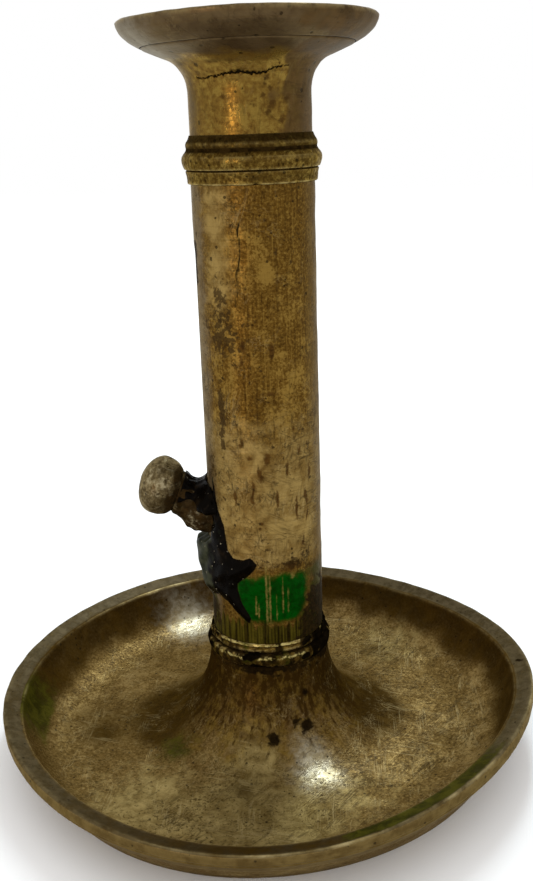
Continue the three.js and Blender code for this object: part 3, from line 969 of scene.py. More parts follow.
NOZZLE_BRASS = Brass(
    "nozzle_brass", paint(124, 100, 44), paint(103, 78, 31), paint(72, 49, 16), 0.06, 75, 1000, 1,
    streak=0.15, streak_scale=18, turned=0.12,
    scratch=0.2, scratch_scale=1300, tick=0.4, tick_scale=1300, speck=0.16, speck_scale=700,
    polish=0.24, dull=0.4, rub=0.3, sheen=0.04,
    # Greyer flare and sides, and a pale grey lip: painted sheen.
    stains=(Stain("grey", paint(79, 65, 45), paint(60, 47, 32), 0.9, 0.38, 0.5, 0.8, 0.35, 150, under=True),
            Stain("frost", paint(120, 115, 104), paint(95, 89, 80), 0.92, 0.4, 0.5, 0.6, 0.45, 170, under=True),
            # Darker right-hand side: painted shade.
            Stain("dim", paint(80, 60, 32), paint(60, 44, 22), 0.88, 0.5, 0.2, 0.8, 0.45, 300, under=True),
            Stain("spot", paint(66, 44, 15), paint(44, 28, 8), 0.8, 0.5, 0.3, 2.2, 0.25, 900), SPLIT))
COLLAR_BRASS = Brass(
    "collar_brass", paint(124, 102, 47), paint(80, 60, 21), paint(48, 32, 8), 0.03, 120, 1300, 0.8,
    streak=0.35, streak_scale=26, turned=0.25, scratch=0.3,
    tick=0.7, speck=0.3, speck_scale=820, rubbed=paint(172, 152, 96), dirt=paint(20, 13, 4),
    rub=0.9, polish=0.24, dull=0.46, stains=(
        GREEN_SMEAR, GROOVE, GRIME,
        Stain("glint", paint(190, 174, 112), paint(128, 116, 46), 0.85, 0.25, 0.6, 2.2, 0.25, 900), BLACK_FILM))
KNOB_BRASS = Brass(
    "knob_brass", paint(126, 111, 78), paint(80, 67, 41), paint(52, 40, 20), 0.02, 150, 1300, 0.7,
    scratch=0.4, tick=0.7, speck=0.3, speck_scale=760, polish=0.24, dull=0.42,
    rub=0.5, coat=0.1,
    stains=(Stain("brown", paint(48, 34, 15), paint(26, 17, 7), 0.95, 0.45, 0.3, 1, 0.4, 500),
            # Pale patches: painted highlights and glints.
            Stain("pale", paint(160, 148, 116), paint(118, 103, 68), 0.8, 0.32, 0.5, 2, 0.3, 700, 0.4), GRIME))
INNER_BRASS = Brass(
    "inner_brass", paint(88, 70, 38), paint(66, 50, 24), paint(38, 28, 13), -0.02, 160, 1200,
    streak=0.3, scratch=0.4, speck=0.25, speck_scale=620, polish=0.42, dull=0.66)


# The stand


@dataclass
class BasePan:
    """Dished pan with a flat-topped rim, bent by use, rising into the trumpet foot."""

    radius: float = 61.5
    height: float = 14.0
    ledge: float = 4.0
    ledge_fall: float = 1.1
    band: float = 2.6
    band_proud: float = 0.4
    foot: float = 52.5
    foot_ring: float = 6.5
    recess: float = 0.8
    floor: float = 2.6
    cove: float = 18.4
    shoulder: float = 22.8
    neck: float = 13.7
    spread: float = 18.3
    wall: float = 2.0
    spigot: float = 11.35
    spigot_wall: float = 2.0
    spigot_height: float = 6.0
    wall_step: Terms = ((57.35, 6.6), (57.6, 6.75))
    columns: int = 350
    bent_out: Terms = ((0.345, -0.948), (0.089, 0.097), (0.32, -0.354), (0.69, 0.153))
    bent_up: Terms = ((-0.278, 0.891), (-0.356, 0.562))
    bent_foot: Terms = ((0.9, -0.365), (0.4, -0.436), (-0.43, -0.496))
    # Round marks seen from above, as (x, y, width, weight): pale pools of painted light, dark patches (some
    # brown blots, some painted shade and the stem's painted reflection), and dark spots.
    lit_pools: Rows = (
        (-26, -34, 12, 1), (0, -46, 13, 1), (-7, -38, 10, 1), (26, -36, 10, 0.15), (32, 31, 11, 0.6),
        (13, -31, 9, 0.6), (-4, -21.5, 6, 1))
    blots_and_reflections: Rows = (
        (-6.3, -29.8, 4.5, 0.55), (10.2, -38.6, 3.6, 0.45), (28.4, 27.9, 6, 0.55), (40, -14, 5, 0.4),
        (-40, -7, 3.2, 0.5), (-27, -9, 4.5, 0.55), (25, -1, 8, 0.85), (-25, 3, 8, 0.85), (-42, -2, 13, 0.55),
        (0, 0, 17, 0.5), (27, -30, 9, 0.2), (-30, 22, 9, 0.15))
    spots: Rows = (
        (0.3, -19.3, 1.5, 1.3), (7.7, -12.8, 0.9, 1.2), (7.7, -16.4, 1.5, 1.3), (-7, -15.9, 1.4, 0.5),
        (-1.5, -15.3, 1.2, 0.5), (59.4, -0.7, 0.6, 1.3), (5.2, -16.6, 0.7, 1))

    def flare(self) -> Array:
        """The trumpet's line from the floor up to the shoulder."""
        drop = self.shoulder - self.floor
        return bezier((self.neck + self.spread, self.floor),
                      (self.neck + 0.33 * self.spread, self.floor + 0.02 * drop),
                      (self.neck + 0.03 * self.spread, self.floor + 0.5 * drop),
                      (self.neck, self.shoulder - 0.6), 60)

    def outline(self) -> Array:
        """The section's corners.

        Returns:
            Points round foot ring, outer wall, rim, cove, floor, trumpet, spigot and hollow.
        """
        crest, crest_height = self.radius - self.ledge, self.height - self.ledge_fall
        band_foot = self.height - self.band
        rise = crest_height - self.floor
        cove = bezier((crest - 0.5, crest_height - 0.5), (crest - 0.125 * self.cove, self.floor + 0.33 * rise),
                      (crest - 0.35 * self.cove, self.floor), (crest - self.cove, self.floor), 40)
        flare = self.flare()
        slope = np.gradient(flare, axis=0)
        slope /= np.linalg.norm(slope, axis=1)[:, None]
        hollow = flare + self.wall * np.stack([-slope[:, 1], slope[:, 0]], -1)
        bore = self.spigot - self.spigot_wall
        hollow = hollow[(hollow[:, 0] > bore + 0.4) & (hollow[:, 1] > self.recess + 0.3)][::-1]
        outer = [(self.neck + self.spread + 1, self.recess), (self.foot - self.foot_ring - 0.8, self.recess),
                 (self.foot - self.foot_ring, 0), (self.foot - 0.6, 0), (self.foot, 0.4),
                 *self.wall_step,
                 (self.radius - self.band_proud, band_foot - 0.5), (self.radius - self.band_proud, band_foot),
                 (self.radius - 0.3, band_foot), (self.radius, band_foot + 0.4),
                 (self.radius, self.height - 0.4), (self.radius - 0.5, self.height),
                 (crest + 0.5, crest_height), (crest - 0.2, crest_height - 0.1)]
        top = [(self.neck - 0.5, self.shoulder), (self.spigot, self.shoulder),
               (self.spigot, self.shoulder + self.spigot_height - 0.6),
               (self.spigot - 0.6, self.shoulder + self.spigot_height),
               (bore, self.shoulder + self.spigot_height), (bore, self.shoulder - self.wall - 2)]
        return np.vstack([outer, cove, flare, top, hollow])

    def bend(self, points: Array, radius: Array, phi: Array, height: Array) -> Array:
        """Bends the rim out of round and out of level, and the foot ring out of round.

        Each shift is a sum of cosines and sines of one to four times the angle, outside radius 40. The foot's
        shift passes into the rim's with the height, so the foot ring stays flat on the table.

        Args:
            points: Points of the round pan.
            radius: Their radii.
            phi: Their angles.
            height: Their heights.

        Returns:
            The points of the bent pan.
        """
        def waves(terms: Terms) -> Array:
            """Sum of the cosine and sine terms over the angle."""
            return sum(a * np.cos((k + 1) * phi) + b * np.sin((k + 1) * phi) for k, (a, b) in enumerate(terms))

        hold, share = eased(40, 50, radius), clipped(height / self.height)
        out = hold * (share * waves(self.bent_out) + (1 - share) * waves(self.bent_foot))
        wear = 0.025 * ripple(points, 7, 11) * eased(3, 12, height) * eased(40, 55, radius)
        return points + round_points(out + wear, phi, hold * share * waves(self.bent_up) + wear)

    def marks(self, points: Array, radius: Array, degrees: Array, height: Array) -> dict[str, Array]:
        """Where the pan is stained, rubbed and scored, and where light, shade and highlights are painted on it.

        Args:
            points: Points of the round pan.
            radius: Their radii.
            degrees: Their angles in degrees.
            height: Their heights.

        Returns:
            A value for each kind of mark, and under edge the share of each rubbed edge that shows.
        """
        x, y = points[..., 0], points[..., 1]
        bowl = (height > self.floor - 0.2) & (radius < self.radius - self.ledge + 0.4)
        top = self.height - self.ledge_fall * (self.radius - radius) / self.ledge
        ledge = eased(57.1, 57.8, radius) * eased(top - 0.5, top - 0.2, height)
        # Painted shade: darker inner wall by the angle round the pan, darker ledge at the front and left,
        # darker trumpet top, and the floor beside the trumpet darkened as the stem's painted reflection; the
        # blots add brown blots and more painted shade.
        wall = eased(50, 55.5, radius + 0.8 * ripple(points, 12, 13)) * bowl
        side = np.where(degrees > 0, eased(40, 75, degrees), eased(-80, -105, degrees))
        left = window(degrees, -150, -110, -40, -15)
        shade = np.maximum(wall * (0.35 + 0.6 * side), ledge * (0.75 * bell(degrees, -2, 34) + 0.2 * left))
        foot = 0.2 * eased(17.5, 14.2, radius) + 0.85 * bell(np.abs(degrees), 90, 30) * eased(35, 25, radius)
        # front and lit brighten the rim's rubbed outer edge at the front and its inner crest at the back-left
        # as painted highlights; the low line round the outer wall is a scribed line.
        front = 0.25 + 0.75 * window(degrees, -45, 15, 70, 95)
        lit = 0.2 + 0.8 * window(degrees, -170, -156, -140, -118)
        line = 0.5 * bell(height, 7.6, 0.12) * ~bowl
        for r, z, width, seed, wavelength, share in ((61.25, 13.85, 0.3, 15, 9, 0.9 * front),
                                                     (57.3, 12.65, 0.42, 16, 7, lit)):
            worn = 0.75 + 0.25 * ripple(points, wavelength, seed)
            line = line + bell(np.hypot(radius - r, height - z), 0, width) * worn * share
        under_bead = eased(20.6, 21.6, height + 0.35 * ripple(points, 2, 19)) * bowl
        moss = np.maximum(bell(degrees, -86, 13) * eased(51.5, 53.5, radius) * bowl,
                          ledge * window(degrees, 8, 16, 45, 64) * eased(61.2, 60.4, radius))
        slope, jagged = self.flare()[::-1], 1 + 0.15 * ripple(points, 2, 20)
        spot = under_bead * (0.4 + 0.6 * bell(degrees, -6, 24) + 0.6 * bell(degrees, 70, 26))
        for a, b, width, weight in self.spots:
            out = math.hypot(a, b)
            level = np.interp(out, slope[:, 0], slope[:, 1]) if out < self.foot else self.height - 0.6
            away = np.sqrt((x - a) ** 2 + (y - b) ** 2 + (height - level) ** 2)
            spot = spot + weight * bell(away * jagged, 0, width)
        scored = (0.4 + 0.2 * eased(18, 27, radius) + 0.3 * eased(-5, 22, x) + 0.15 * ripple(points, 14, 17))
        soot = (0.22 * bell(np.hypot(x + 16, y + 32), 0, 17)
                + 0.12 * eased(18, 30, radius) * (0.5 + 0.5 * ripple(points, 16, 18)))
        runs = 0.3 + 0.2 * eased(19, 14.5, radius) + 0.16 * bell(np.abs(degrees), 75, 26)
        # Rubbed metal on the trumpet's toe and in the back-left cove, coloured bright as a painted highlight
        # where the back lamp's reflection falls.
        worn = bell(radius, 26.5, 6.5) * bell(degrees, 21, 11) + bell(np.hypot(x + 21.5, y - 43.5), 0, 7)
        # The outer wall is lightened with painted light, standing in for light sent up from the table.
        skirt = eased(52, 53, radius) * eased(self.height - 0.2, self.height - 0.6, height)
        # pale lays the pools of painted light on the floor.
        return {"upright": eased(31, 20, radius) * bowl, "grey": 0.85 * ledge, "spot": spot,
                "gold": 0.95 * eased(28, 15, radius + 1.6 * ripple(points, 9, 12)) * bowl,
                "shade": clipped(shade + bowl * (foot + blobs(self.blots_and_reflections, x, y))),
                "skirt": skirt * ~bowl * (1 - ledge), "worn": clipped(worn) * bowl,
                "scored": bowl * eased(54.5, 49, radius) * clipped(scored),
                "pale": clipped(blobs(self.lit_pools, x, y)) * bowl, "runs": bowl * eased(26, 18, radius) * runs,
                "soot": bowl * clipped(soot), "line": clipped(line),
                "edge": np.where(radius > 56, 0.15, 1 - under_bead),
                "green": 0.85 * moss + 0.75 * bell(np.hypot(x + 22, y + 15), 0, 5) * bowl}

    def build(self) -> Piece:
        """Turns the section, lays out where the pan is stained and where light and shade are painted, and bends
        the rim.

        Returns:
            The pan, in the scene.
        """
        section = Section.smoothed(self.outline(), step=1, rounding=0.1)
        around = np.linspace(-np.pi, np.pi, self.columns, endpoint=False)
        skin, radius, phi, height = turned(section, around)
        marks = self.marks(skin.points, radius, np.degrees(phi), height)
        skin.values |= {**marks, "edge": skin.values["edge"] * marks["edge"]}
        skin.points = self.bend(skin.points, radius, phi, height)
        return make_piece("bent_pan", [skin])

    def dress(self) -> None:
        """Builds the pan and gives it its finish."""
        place_piece(self.build(), Body.STAND, Slot.PAN, PAN_BRASS.material(), "base_pan")


@dataclass
class Collars:
    """The ring and bead at the stem's foot and the moulded collar under the nozzle."""

    stem: float = 12.75
    nozzle: float = 12.4
    clearance: float = 0.15
    shoulder: float = 22.8
    lower_height: float = 5.5
    joint: float = 132.0
    drop: float = 4.4
    rise: float = 5.1
    lower_bead: float = 14.3
    lower_ring: float = 13.35
    upper_bead: float = 14.15
    upper_band: float = 13.45

    @staticmethod
    def turn(outline: Array, front: int, back: int) -> tuple[Skin, Array, Array, Array]:
        """Turns a collar's section, with more columns on the viewer's side than behind."""
        return turned(Section.smoothed(outline, step=0.3, rounding=0.07), crowded_angles(front, back))

    def lower(self) -> Piece:
        """Turns the lower collar: bead, deep groove and plain ring, clogged with wax.

        Returns:
            The collar, in the scene.
        """
        bore, bead, ring = self.stem + self.clearance, self.lower_bead, self.lower_ring
        tall = self.lower_height

        def at(share: float) -> float:
            """Height at a share of the collar."""
            return self.shoulder + share * tall

        outline = np.vstack([
            [(bore, at(0)), (bead - 0.8, at(0))], arc((bead - 0.9, at(0.28)), 0.9, 0.28 * tall, -65, 75, 16),
            [(ring - 0.28, at(0.57)), (ring - 0.25, at(0.61))],
            arc((ring - 0.15, at(0.72)), 0.32, 0.09 * tall, -70, 70, 10),
            [(ring - 0.1, at(0.84)), (ring, at(0.9)), (ring - 0.25, at(1)), (bore, at(1))]])
        skin, _, phi, height = self.turn(outline, 300, 60)
        points, degrees = skin.points, np.degrees(phi)
        skin.values |= {
            "smear": 0.35 + 0.25 * ripple(points, 4, 3),
            "grime": clipped(0.48 + 0.35 * ripple(points * (1, 1, 0.4), 2.2, 5)
                             + 0.4 * bell(height, at(0), 0.8) + 0.6 * bell(height, at(0.6), 0.3)),
            "tar": clipped(0.95 * eased(28, 44, degrees + 7 * ripple(points, 3, 9)) * eased(108, 92, degrees)
                           + 0.7 * bell(degrees, -78, 20)
                           + 1.1 * bell(degrees, -15, 12) * bell(height, at(0.5), 1.2)
                           + 0.9 * bell(degrees, -6, 20) * bell(height, at(0.05), 0.9)
                           + 0.2 * ripple(points, 2.5, 6) - 0.1),
            "glint": clipped(0.62 * bell(height, at(0.94), 0.3) * window(degrees, -62, -45, 22, 34)
                             + 0.5 * bell(height, at(0.42), 0.4) * window(degrees, -70, -50, 28, 40))}
        skin.points = points + round_points(0.05 * ripple(points, 3, 4), phi, 0)
        return make_piece("lower_collar_bead", [skin])

    def upper(self) -> Piece:
        """Turns the upper collar: band, large bead and small bead with dark grooves between them.

        Returns:
            The collar, in the scene.
        """
        low_bore, high_bore = self.stem + self.clearance, self.nozzle + self.clearance
        bead, band = self.upper_bead, self.upper_band
        foot, tall = self.joint - self.drop, self.drop + self.rise

        def at(share: float) -> float:
            """Height at a share of the collar."""
            return foot + share * tall

        turns = ((band - 0.3, 0), (band - 0.14, 0.015), (band - 0.1, 0.07), (band, 0.17), (band + 0.2, 0.262),
                 (band + 0.02, 0.275), (band + 0.05, 0.295), (band + 0.42, 0.305), (bead - 0.08, 0.36),
                 (bead + 0.13, 0.44), (bead + 0.18, 0.505), (bead + 0.08, 0.56), (bead - 0.22, 0.61),
                 (band + 0.08, 0.665), (band - 0.12, 0.705), (band - 0.12, 0.735), (band - 0.03, 0.775),
                 (band - 0.03, 0.815), (band - 0.16, 0.855), (band - 0.45, 0.895), (band - 0.72, 0.95),
                 (high_bore + 0.05, 1))
        outline = np.array([(low_bore, foot), *((r, at(share)) for r, share in turns), (high_bore, at(1)),
                            (high_bore, self.joint), (low_bore, self.joint)])
        skin, _, phi, height = self.turn(outline, 330, 70)
        points, degrees = skin.points, np.degrees(phi)
        notch = bell(degrees, 2.7, 3.2) * bell(height, foot + 0.05, 0.45)
        chip = bell(degrees, -42, 7) * bell(height, at(0.47), 0.9) * clipped(ripple(points, 1.2, 8))
        grooves = ((0.94, 1.1, 1.2), (0.7, 0.75, 0.9), (0.283, 0.14, 0.8), (0, 0.16, 0.8), (0.13, 0.9, 0.3))
        dark = sum(t * bell(height, at(a), w) for a, w, t in grooves)
        skin.values |= {"tar": 0.9 * notch, "groove": clipped(dark + 0.35 * chip)}
        push = -0.5 * notch - 0.12 * chip + 0.025 * ripple(points, 2.2, 7)
        skin.points = points + round_points(push, phi, 0)
        return make_piece("upper_collar_moulding", [skin])

    def dress(self) -> None:
        """Builds both collars and gives them one finish."""
        material = COLLAR_BRASS.material()
        place_piece(self.lower(), Body.STAND, Slot.COLLAR, material, "lower_collar")
        place_piece(self.upper(), Body.STAND, Slot.COLLAR, material, "upper_collar")


def arc_degrees(degrees: Rows, radius: float) -> Array:
    """Corners given as (degrees round the stem, height) as (millimetres round the stem, height)."""
    corners = np.array(degrees, float)
    return np.stack([np.radians(corners[:, 0]) * radius, corners[:, 1]], -1)


# Outlines of the wax on the stem, as (degrees, height).
TAR_OUTLINE = ((-60, 66), (-57.5, 64), (-56, 60.5), (-50, 57.5), (-44.5, 55.2), (-43, 52.5), (-41.8, 49.8),
               (-34.7, 48.2), (-22.9, 48.3), (-16, 48.9), (-9.6, 47.4), (-14, 45.8), (-20.6, 44.4),
               (-31.5, 42.5), (-31, 40.8), (-26.7, 37.7), (-17.8, 34.4), (-19.5, 33.3), (-32.3, 35.3),
               (-43.1, 37.3), (-58, 38.2), (-72, 37), (-88, 35), (-106, 37), (-118, 43), (-116, 50.2),
               (-74, 50.4), (-67, 52), (-62, 57), (-61, 62))
GREEN_OUTLINE = ((-34, 43.5), (-20, 45), (0, 46), (14, 46), (34, 45.6), (42, 44.5), (46, 42), (43, 39),
                 (45, 37), (38, 34.5), (30, 33.2), (4, 33.2), (-16, 33.4), (-30, 34.2))


@dataclass
class StemTube:
    """Plain tube with the knob's long slot in its side, streaked, pitted and stained with wax."""

    bore: float = 11.5
    radius: float = 12.75
    foot: float = 22.8
    top: float = 132.0
    slot: float = 2.9
    slot_low: float = 58.5
    slot_high: float = 113.3
    # Upright patches, as (weight, degrees, spread) and the four heights of a window.
    soot: Rows = (
        (0.95, -36, 13, 90, 97, 106, 113), (0.6, -22, 9, 90, 95, 98, 104), (1.5, -40, 4, 70, 75, 84, 90),
        (0.75, -58, 7, 63, 66, 69, 74), (0.8, 60, 17, 29, 31, 36, 40), (0.5, 2, 3.5, 47, 49, 52, 55))
    smears: Rows = (
        (0.9, -72, 12, 30, 32, 37, 39), (0.85, 62, 19, 29, 32, 43.5, 47.5))
    # The first grime patch, along the slot's upper end, is painted shade of the slot's edge; the second is a
    # dark patch by the lower collar.
    grime: Rows = (
        (1.3, -75, 5.5, 106.5, 108.5, 115.8, 116.8), (0.75, -72, 16, 28.5, 31, 35, 38))
    # Spots as (degrees, height, half width, half height), and scraped lines as (degrees, top, bottom, width).
    spots: Rows = (
        (10.3, 95, 0.8, 1.6), (12.5, 93.8, 0.5, 1.2), (-3.9, 57, 0.55, 0.45), (-4.5, 55.9, 0.4, 0.4),
        (41.4, 51.6, 0.6, 2), (45.6, 62, 0.7, 2.4), (46, 57.5, 0.5, 1.6), (8, 85.5, 1, 0.35),
        (37, 87, 0.6, 0.5), (-14, 96, 0.7, 1.6), (-17, 92.5, 0.5, 1), (24, 46.5, 1.6, 1.2),
        (-10, 64, 0.45, 3.4), (-3, 68.5, 0.5, 2.6), (4, 71.5, 0.6, 1.8), (-20, 75, 0.5, 1.4), (33, 60, 0.5, 3),
        (24, 69, 0.5, 2.2), (14, 62.5, 0.4, 2.4), (50, 67, 0.6, 2.2), (-13, 72, 0.9, 0.5), (38, 72.5, 0.5, 1.2),
        (-28, 63, 0.4, 2.2), (30, 78, 0.6, 0.9))
    scrapes: Rows = (
        (-0.8, 47.4, 33, 0.2), (2.4, 46, 33, 0.2), (15.3, 44.5, 35.5, 0.14), (-11.8, 39.8, 35, 0.2),
        (-9, 38, 34.4, 0.16), (9, 40, 33.5, 0.12), (21, 42, 34.5, 0.1), (27, 45, 43.5, 0.5))
    # The hairline under the upper collar, as (degrees, height).
    hairline: Rows = (
        (-13.8, 120.5), (-14.4, 118.5), (-15.4, 115), (-16.4, 112), (-17.4, 108.5), (-20.5, 104))

    def half_width(self, height: Array) -> Array:
        """Half the slot's width at a height: a straight slot with round ends."""
        beyond = np.maximum(np.maximum(self.slot_low - height, height - self.slot_high), 0)
        return np.sqrt(np.maximum(self.slot**2 - beyond**2, 0))

    def heights(self) -> Array:
        """Heights of the rows, closer together over the wax and at the slot's round ends."""
        ends = self.slot * np.cos(np.linspace(0, np.pi / 2, 9))
        return np.unique(np.round(np.concatenate([
            np.linspace(self.foot, 30, 12), np.linspace(30, 52, 62), np.linspace(52, self.top, 82),
            self.slot_low - ends, self.slot_high + ends]), 4))

    def marks(self, phi: Array, height: Array, points: Array) -> dict[str, Array]:
        """Where the tube is stained, scraped, pitted and split, and where sheen and shade are painted on it.

        Args:
            phi: Angles of the points.
            height: Heights of the points.
            points: The points.

        Returns:
            A value from 0 to 1 for each kind of mark.
        """
        across, degrees = phi * self.radius, np.degrees(phi)
        tar, green = (within(arc_degrees(corners, self.radius), across, height)
                      for corners in (TAR_OUTLINE, GREEN_OUTLINE))
        soot = (patches(self.soot, degrees, height) + 0.85 * bell(degrees, 30, 28) * bell(height, 47.2, 2.2)
                + 0.2 * eased(-0.6, 0.8, ripple(points * (1, 1, 0.5), 12, 29)) * eased(44, 48, height))
        crooked = across + 0.22 * ripple(points, 4, 32)
        spot = sum(bell(crooked, math.radians(a) * self.radius, w) * bell(height, z, t)
                   for a, z, w, t in self.spots)
        hairline, share = to_line(arc_degrees(self.hairline, self.radius), across + 0.3 * ripple(points, 3, 27),
                                  height)
        scrape = sum(bell(across, math.radians(a) * self.radius, w)
                     * window(height, b - 0.4, b + 0.6, t - 0.4, t + 0.4) for a, t, b, w in self.scrapes)
        uneven = height + 0.8 * ripple(points * (1, 1, 0.1), 2, 25)
        rough = 4 * ripple(points, 3, 30)
        crust = height + 0.25 * rough - np.minimum(29.5 + 0.34 * (degrees - 20), 40)
        grime = (0.85 * eased(28, 38, degrees + rough) * eased(104, 90, degrees) * eased(27.4, 28.6, height)
                 * eased(1.5, -1.5, crust) + patches(self.grime, degrees, height)
                 + 0.5 * bell(degrees, 26, 16) * bell(height, 47, 2))
        pale = 0.95 * window(height, 45.5, 49, 68, 86) + 0.9 * bell(degrees, -37, 15) * eased(98, 110, height)
        scored = 0.35 + 0.45 * window(height, 45, 49, 76, 95) + 0.25 * ripple(points, 9, 28)
        fade = eased(47.5, 42.5, height + 0.5 * ripple(points, 5, 26))
        return {"tar": eased(-0.7, 0.5, tar), "green": eased(-1, 1.6, green) * fade,
                "soot": clipped(0.55 * soot), "spot": clipped(0.9 * spot), "grime": clipped(grime),
                "scrape": clipped(scrape),
                "band": clipped(0.9 * eased(34.4, 32.4, uneven) * eased(27.5, 28.5, height)),
                "split": 0.86 * bell(hairline, 0, 0.3) * (1 - 0.4 * share),
                "smear": clipped(patches(self.smears, degrees, height)), "pale": clipped(pale),
                # Below, grey paints a sheen down the stem's left side.
                "scored": clipped(scored), "grey": 0.9 * window(degrees, -150, -105, -66, -44),
                # The right-hand side is darkened as painted shade.
                "dim": 0.75 * window(degrees, 40, 66, 105, 150)}

    def build(self) -> Piece:
        """Bends a sheet round the bore so that its two edges stand off each other by the slot's width.

        At each height the sheet runs from one edge of the slot round to the other. Above and below the slot
        the edges meet and are welded. Strips join the outside to the bore along the slot and at both ends.

        Returns:
            The tube, in the scene.
        """
        height = self.heights()[:, None]
        opening = self.half_width(height)
        around = np.unique(np.concatenate([np.linspace(0, 0.012, 5), np.linspace(0.012, 0.55, 196),
                                           np.linspace(0.55, 0.988, 52), np.linspace(0.988, 1, 5)]))[None, :]

        def sheet(radius: float) -> tuple[Array, Array]:
            """Lays the sheet on one radius.

            Args:
                radius: The radius.

            Returns:
                The angles and the points.
            """
            half = np.arcsin(opening / radius)
            phi = -0.5 * np.pi + half + around * (2 * np.pi - 2 * half)
            return phi, round_points(radius, phi, height)

        phi, outer = sheet(self.radius)
        _, inner = sheet(self.bore)
        turn = np.mod(phi + np.pi, 2 * np.pi) - np.pi
        edge = np.minimum(around, 1 - around) * 2 * np.pi * self.radius
        round_over = 0.2 * np.exp(-((edge / 0.25) ** 2)) * eased(0, 1.5, opening)
        marks = self.marks(turn, np.broadcast_to(height, phi.shape), outer)
        dents = 0.035 * ripple(outer, 8, 21) + 0.012 * ripple(outer, 2.2, 22) - 0.08 * marks["split"]
        outer = outer + round_points((dents - round_over) * (around > 0) * (around < 1), phi, 0)
        marks["edge"] = eased(0.05, 0.2, round_over)
        low, high = self.slot_low - self.slot - 1e-6, self.slot_high + self.slot + 1e-6
        span = (height[:, 0] >= low) & (height[:, 0] <= high)
        walls = [Skin(np.stack([outer[span, c], inner[span, c]], 1), loop_columns=False) for c in (0, -1)]
        rings = [Skin(np.stack([outer[r], inner[r]], 0), loop_columns=False) for r in (0, -1)]
        skins = [Skin(outer, marks, loop_columns=False), Skin(inner, loop_columns=False), *walls, *rings]
        return make_piece("slotted_stem", skins, weld=True)

    def dress(self) -> None:
        """Builds the tube and gives it its finish."""
        place_piece(self.build(), Body.STAND, Slot.STEM, STEM_BRASS.material(), "stem_tube")


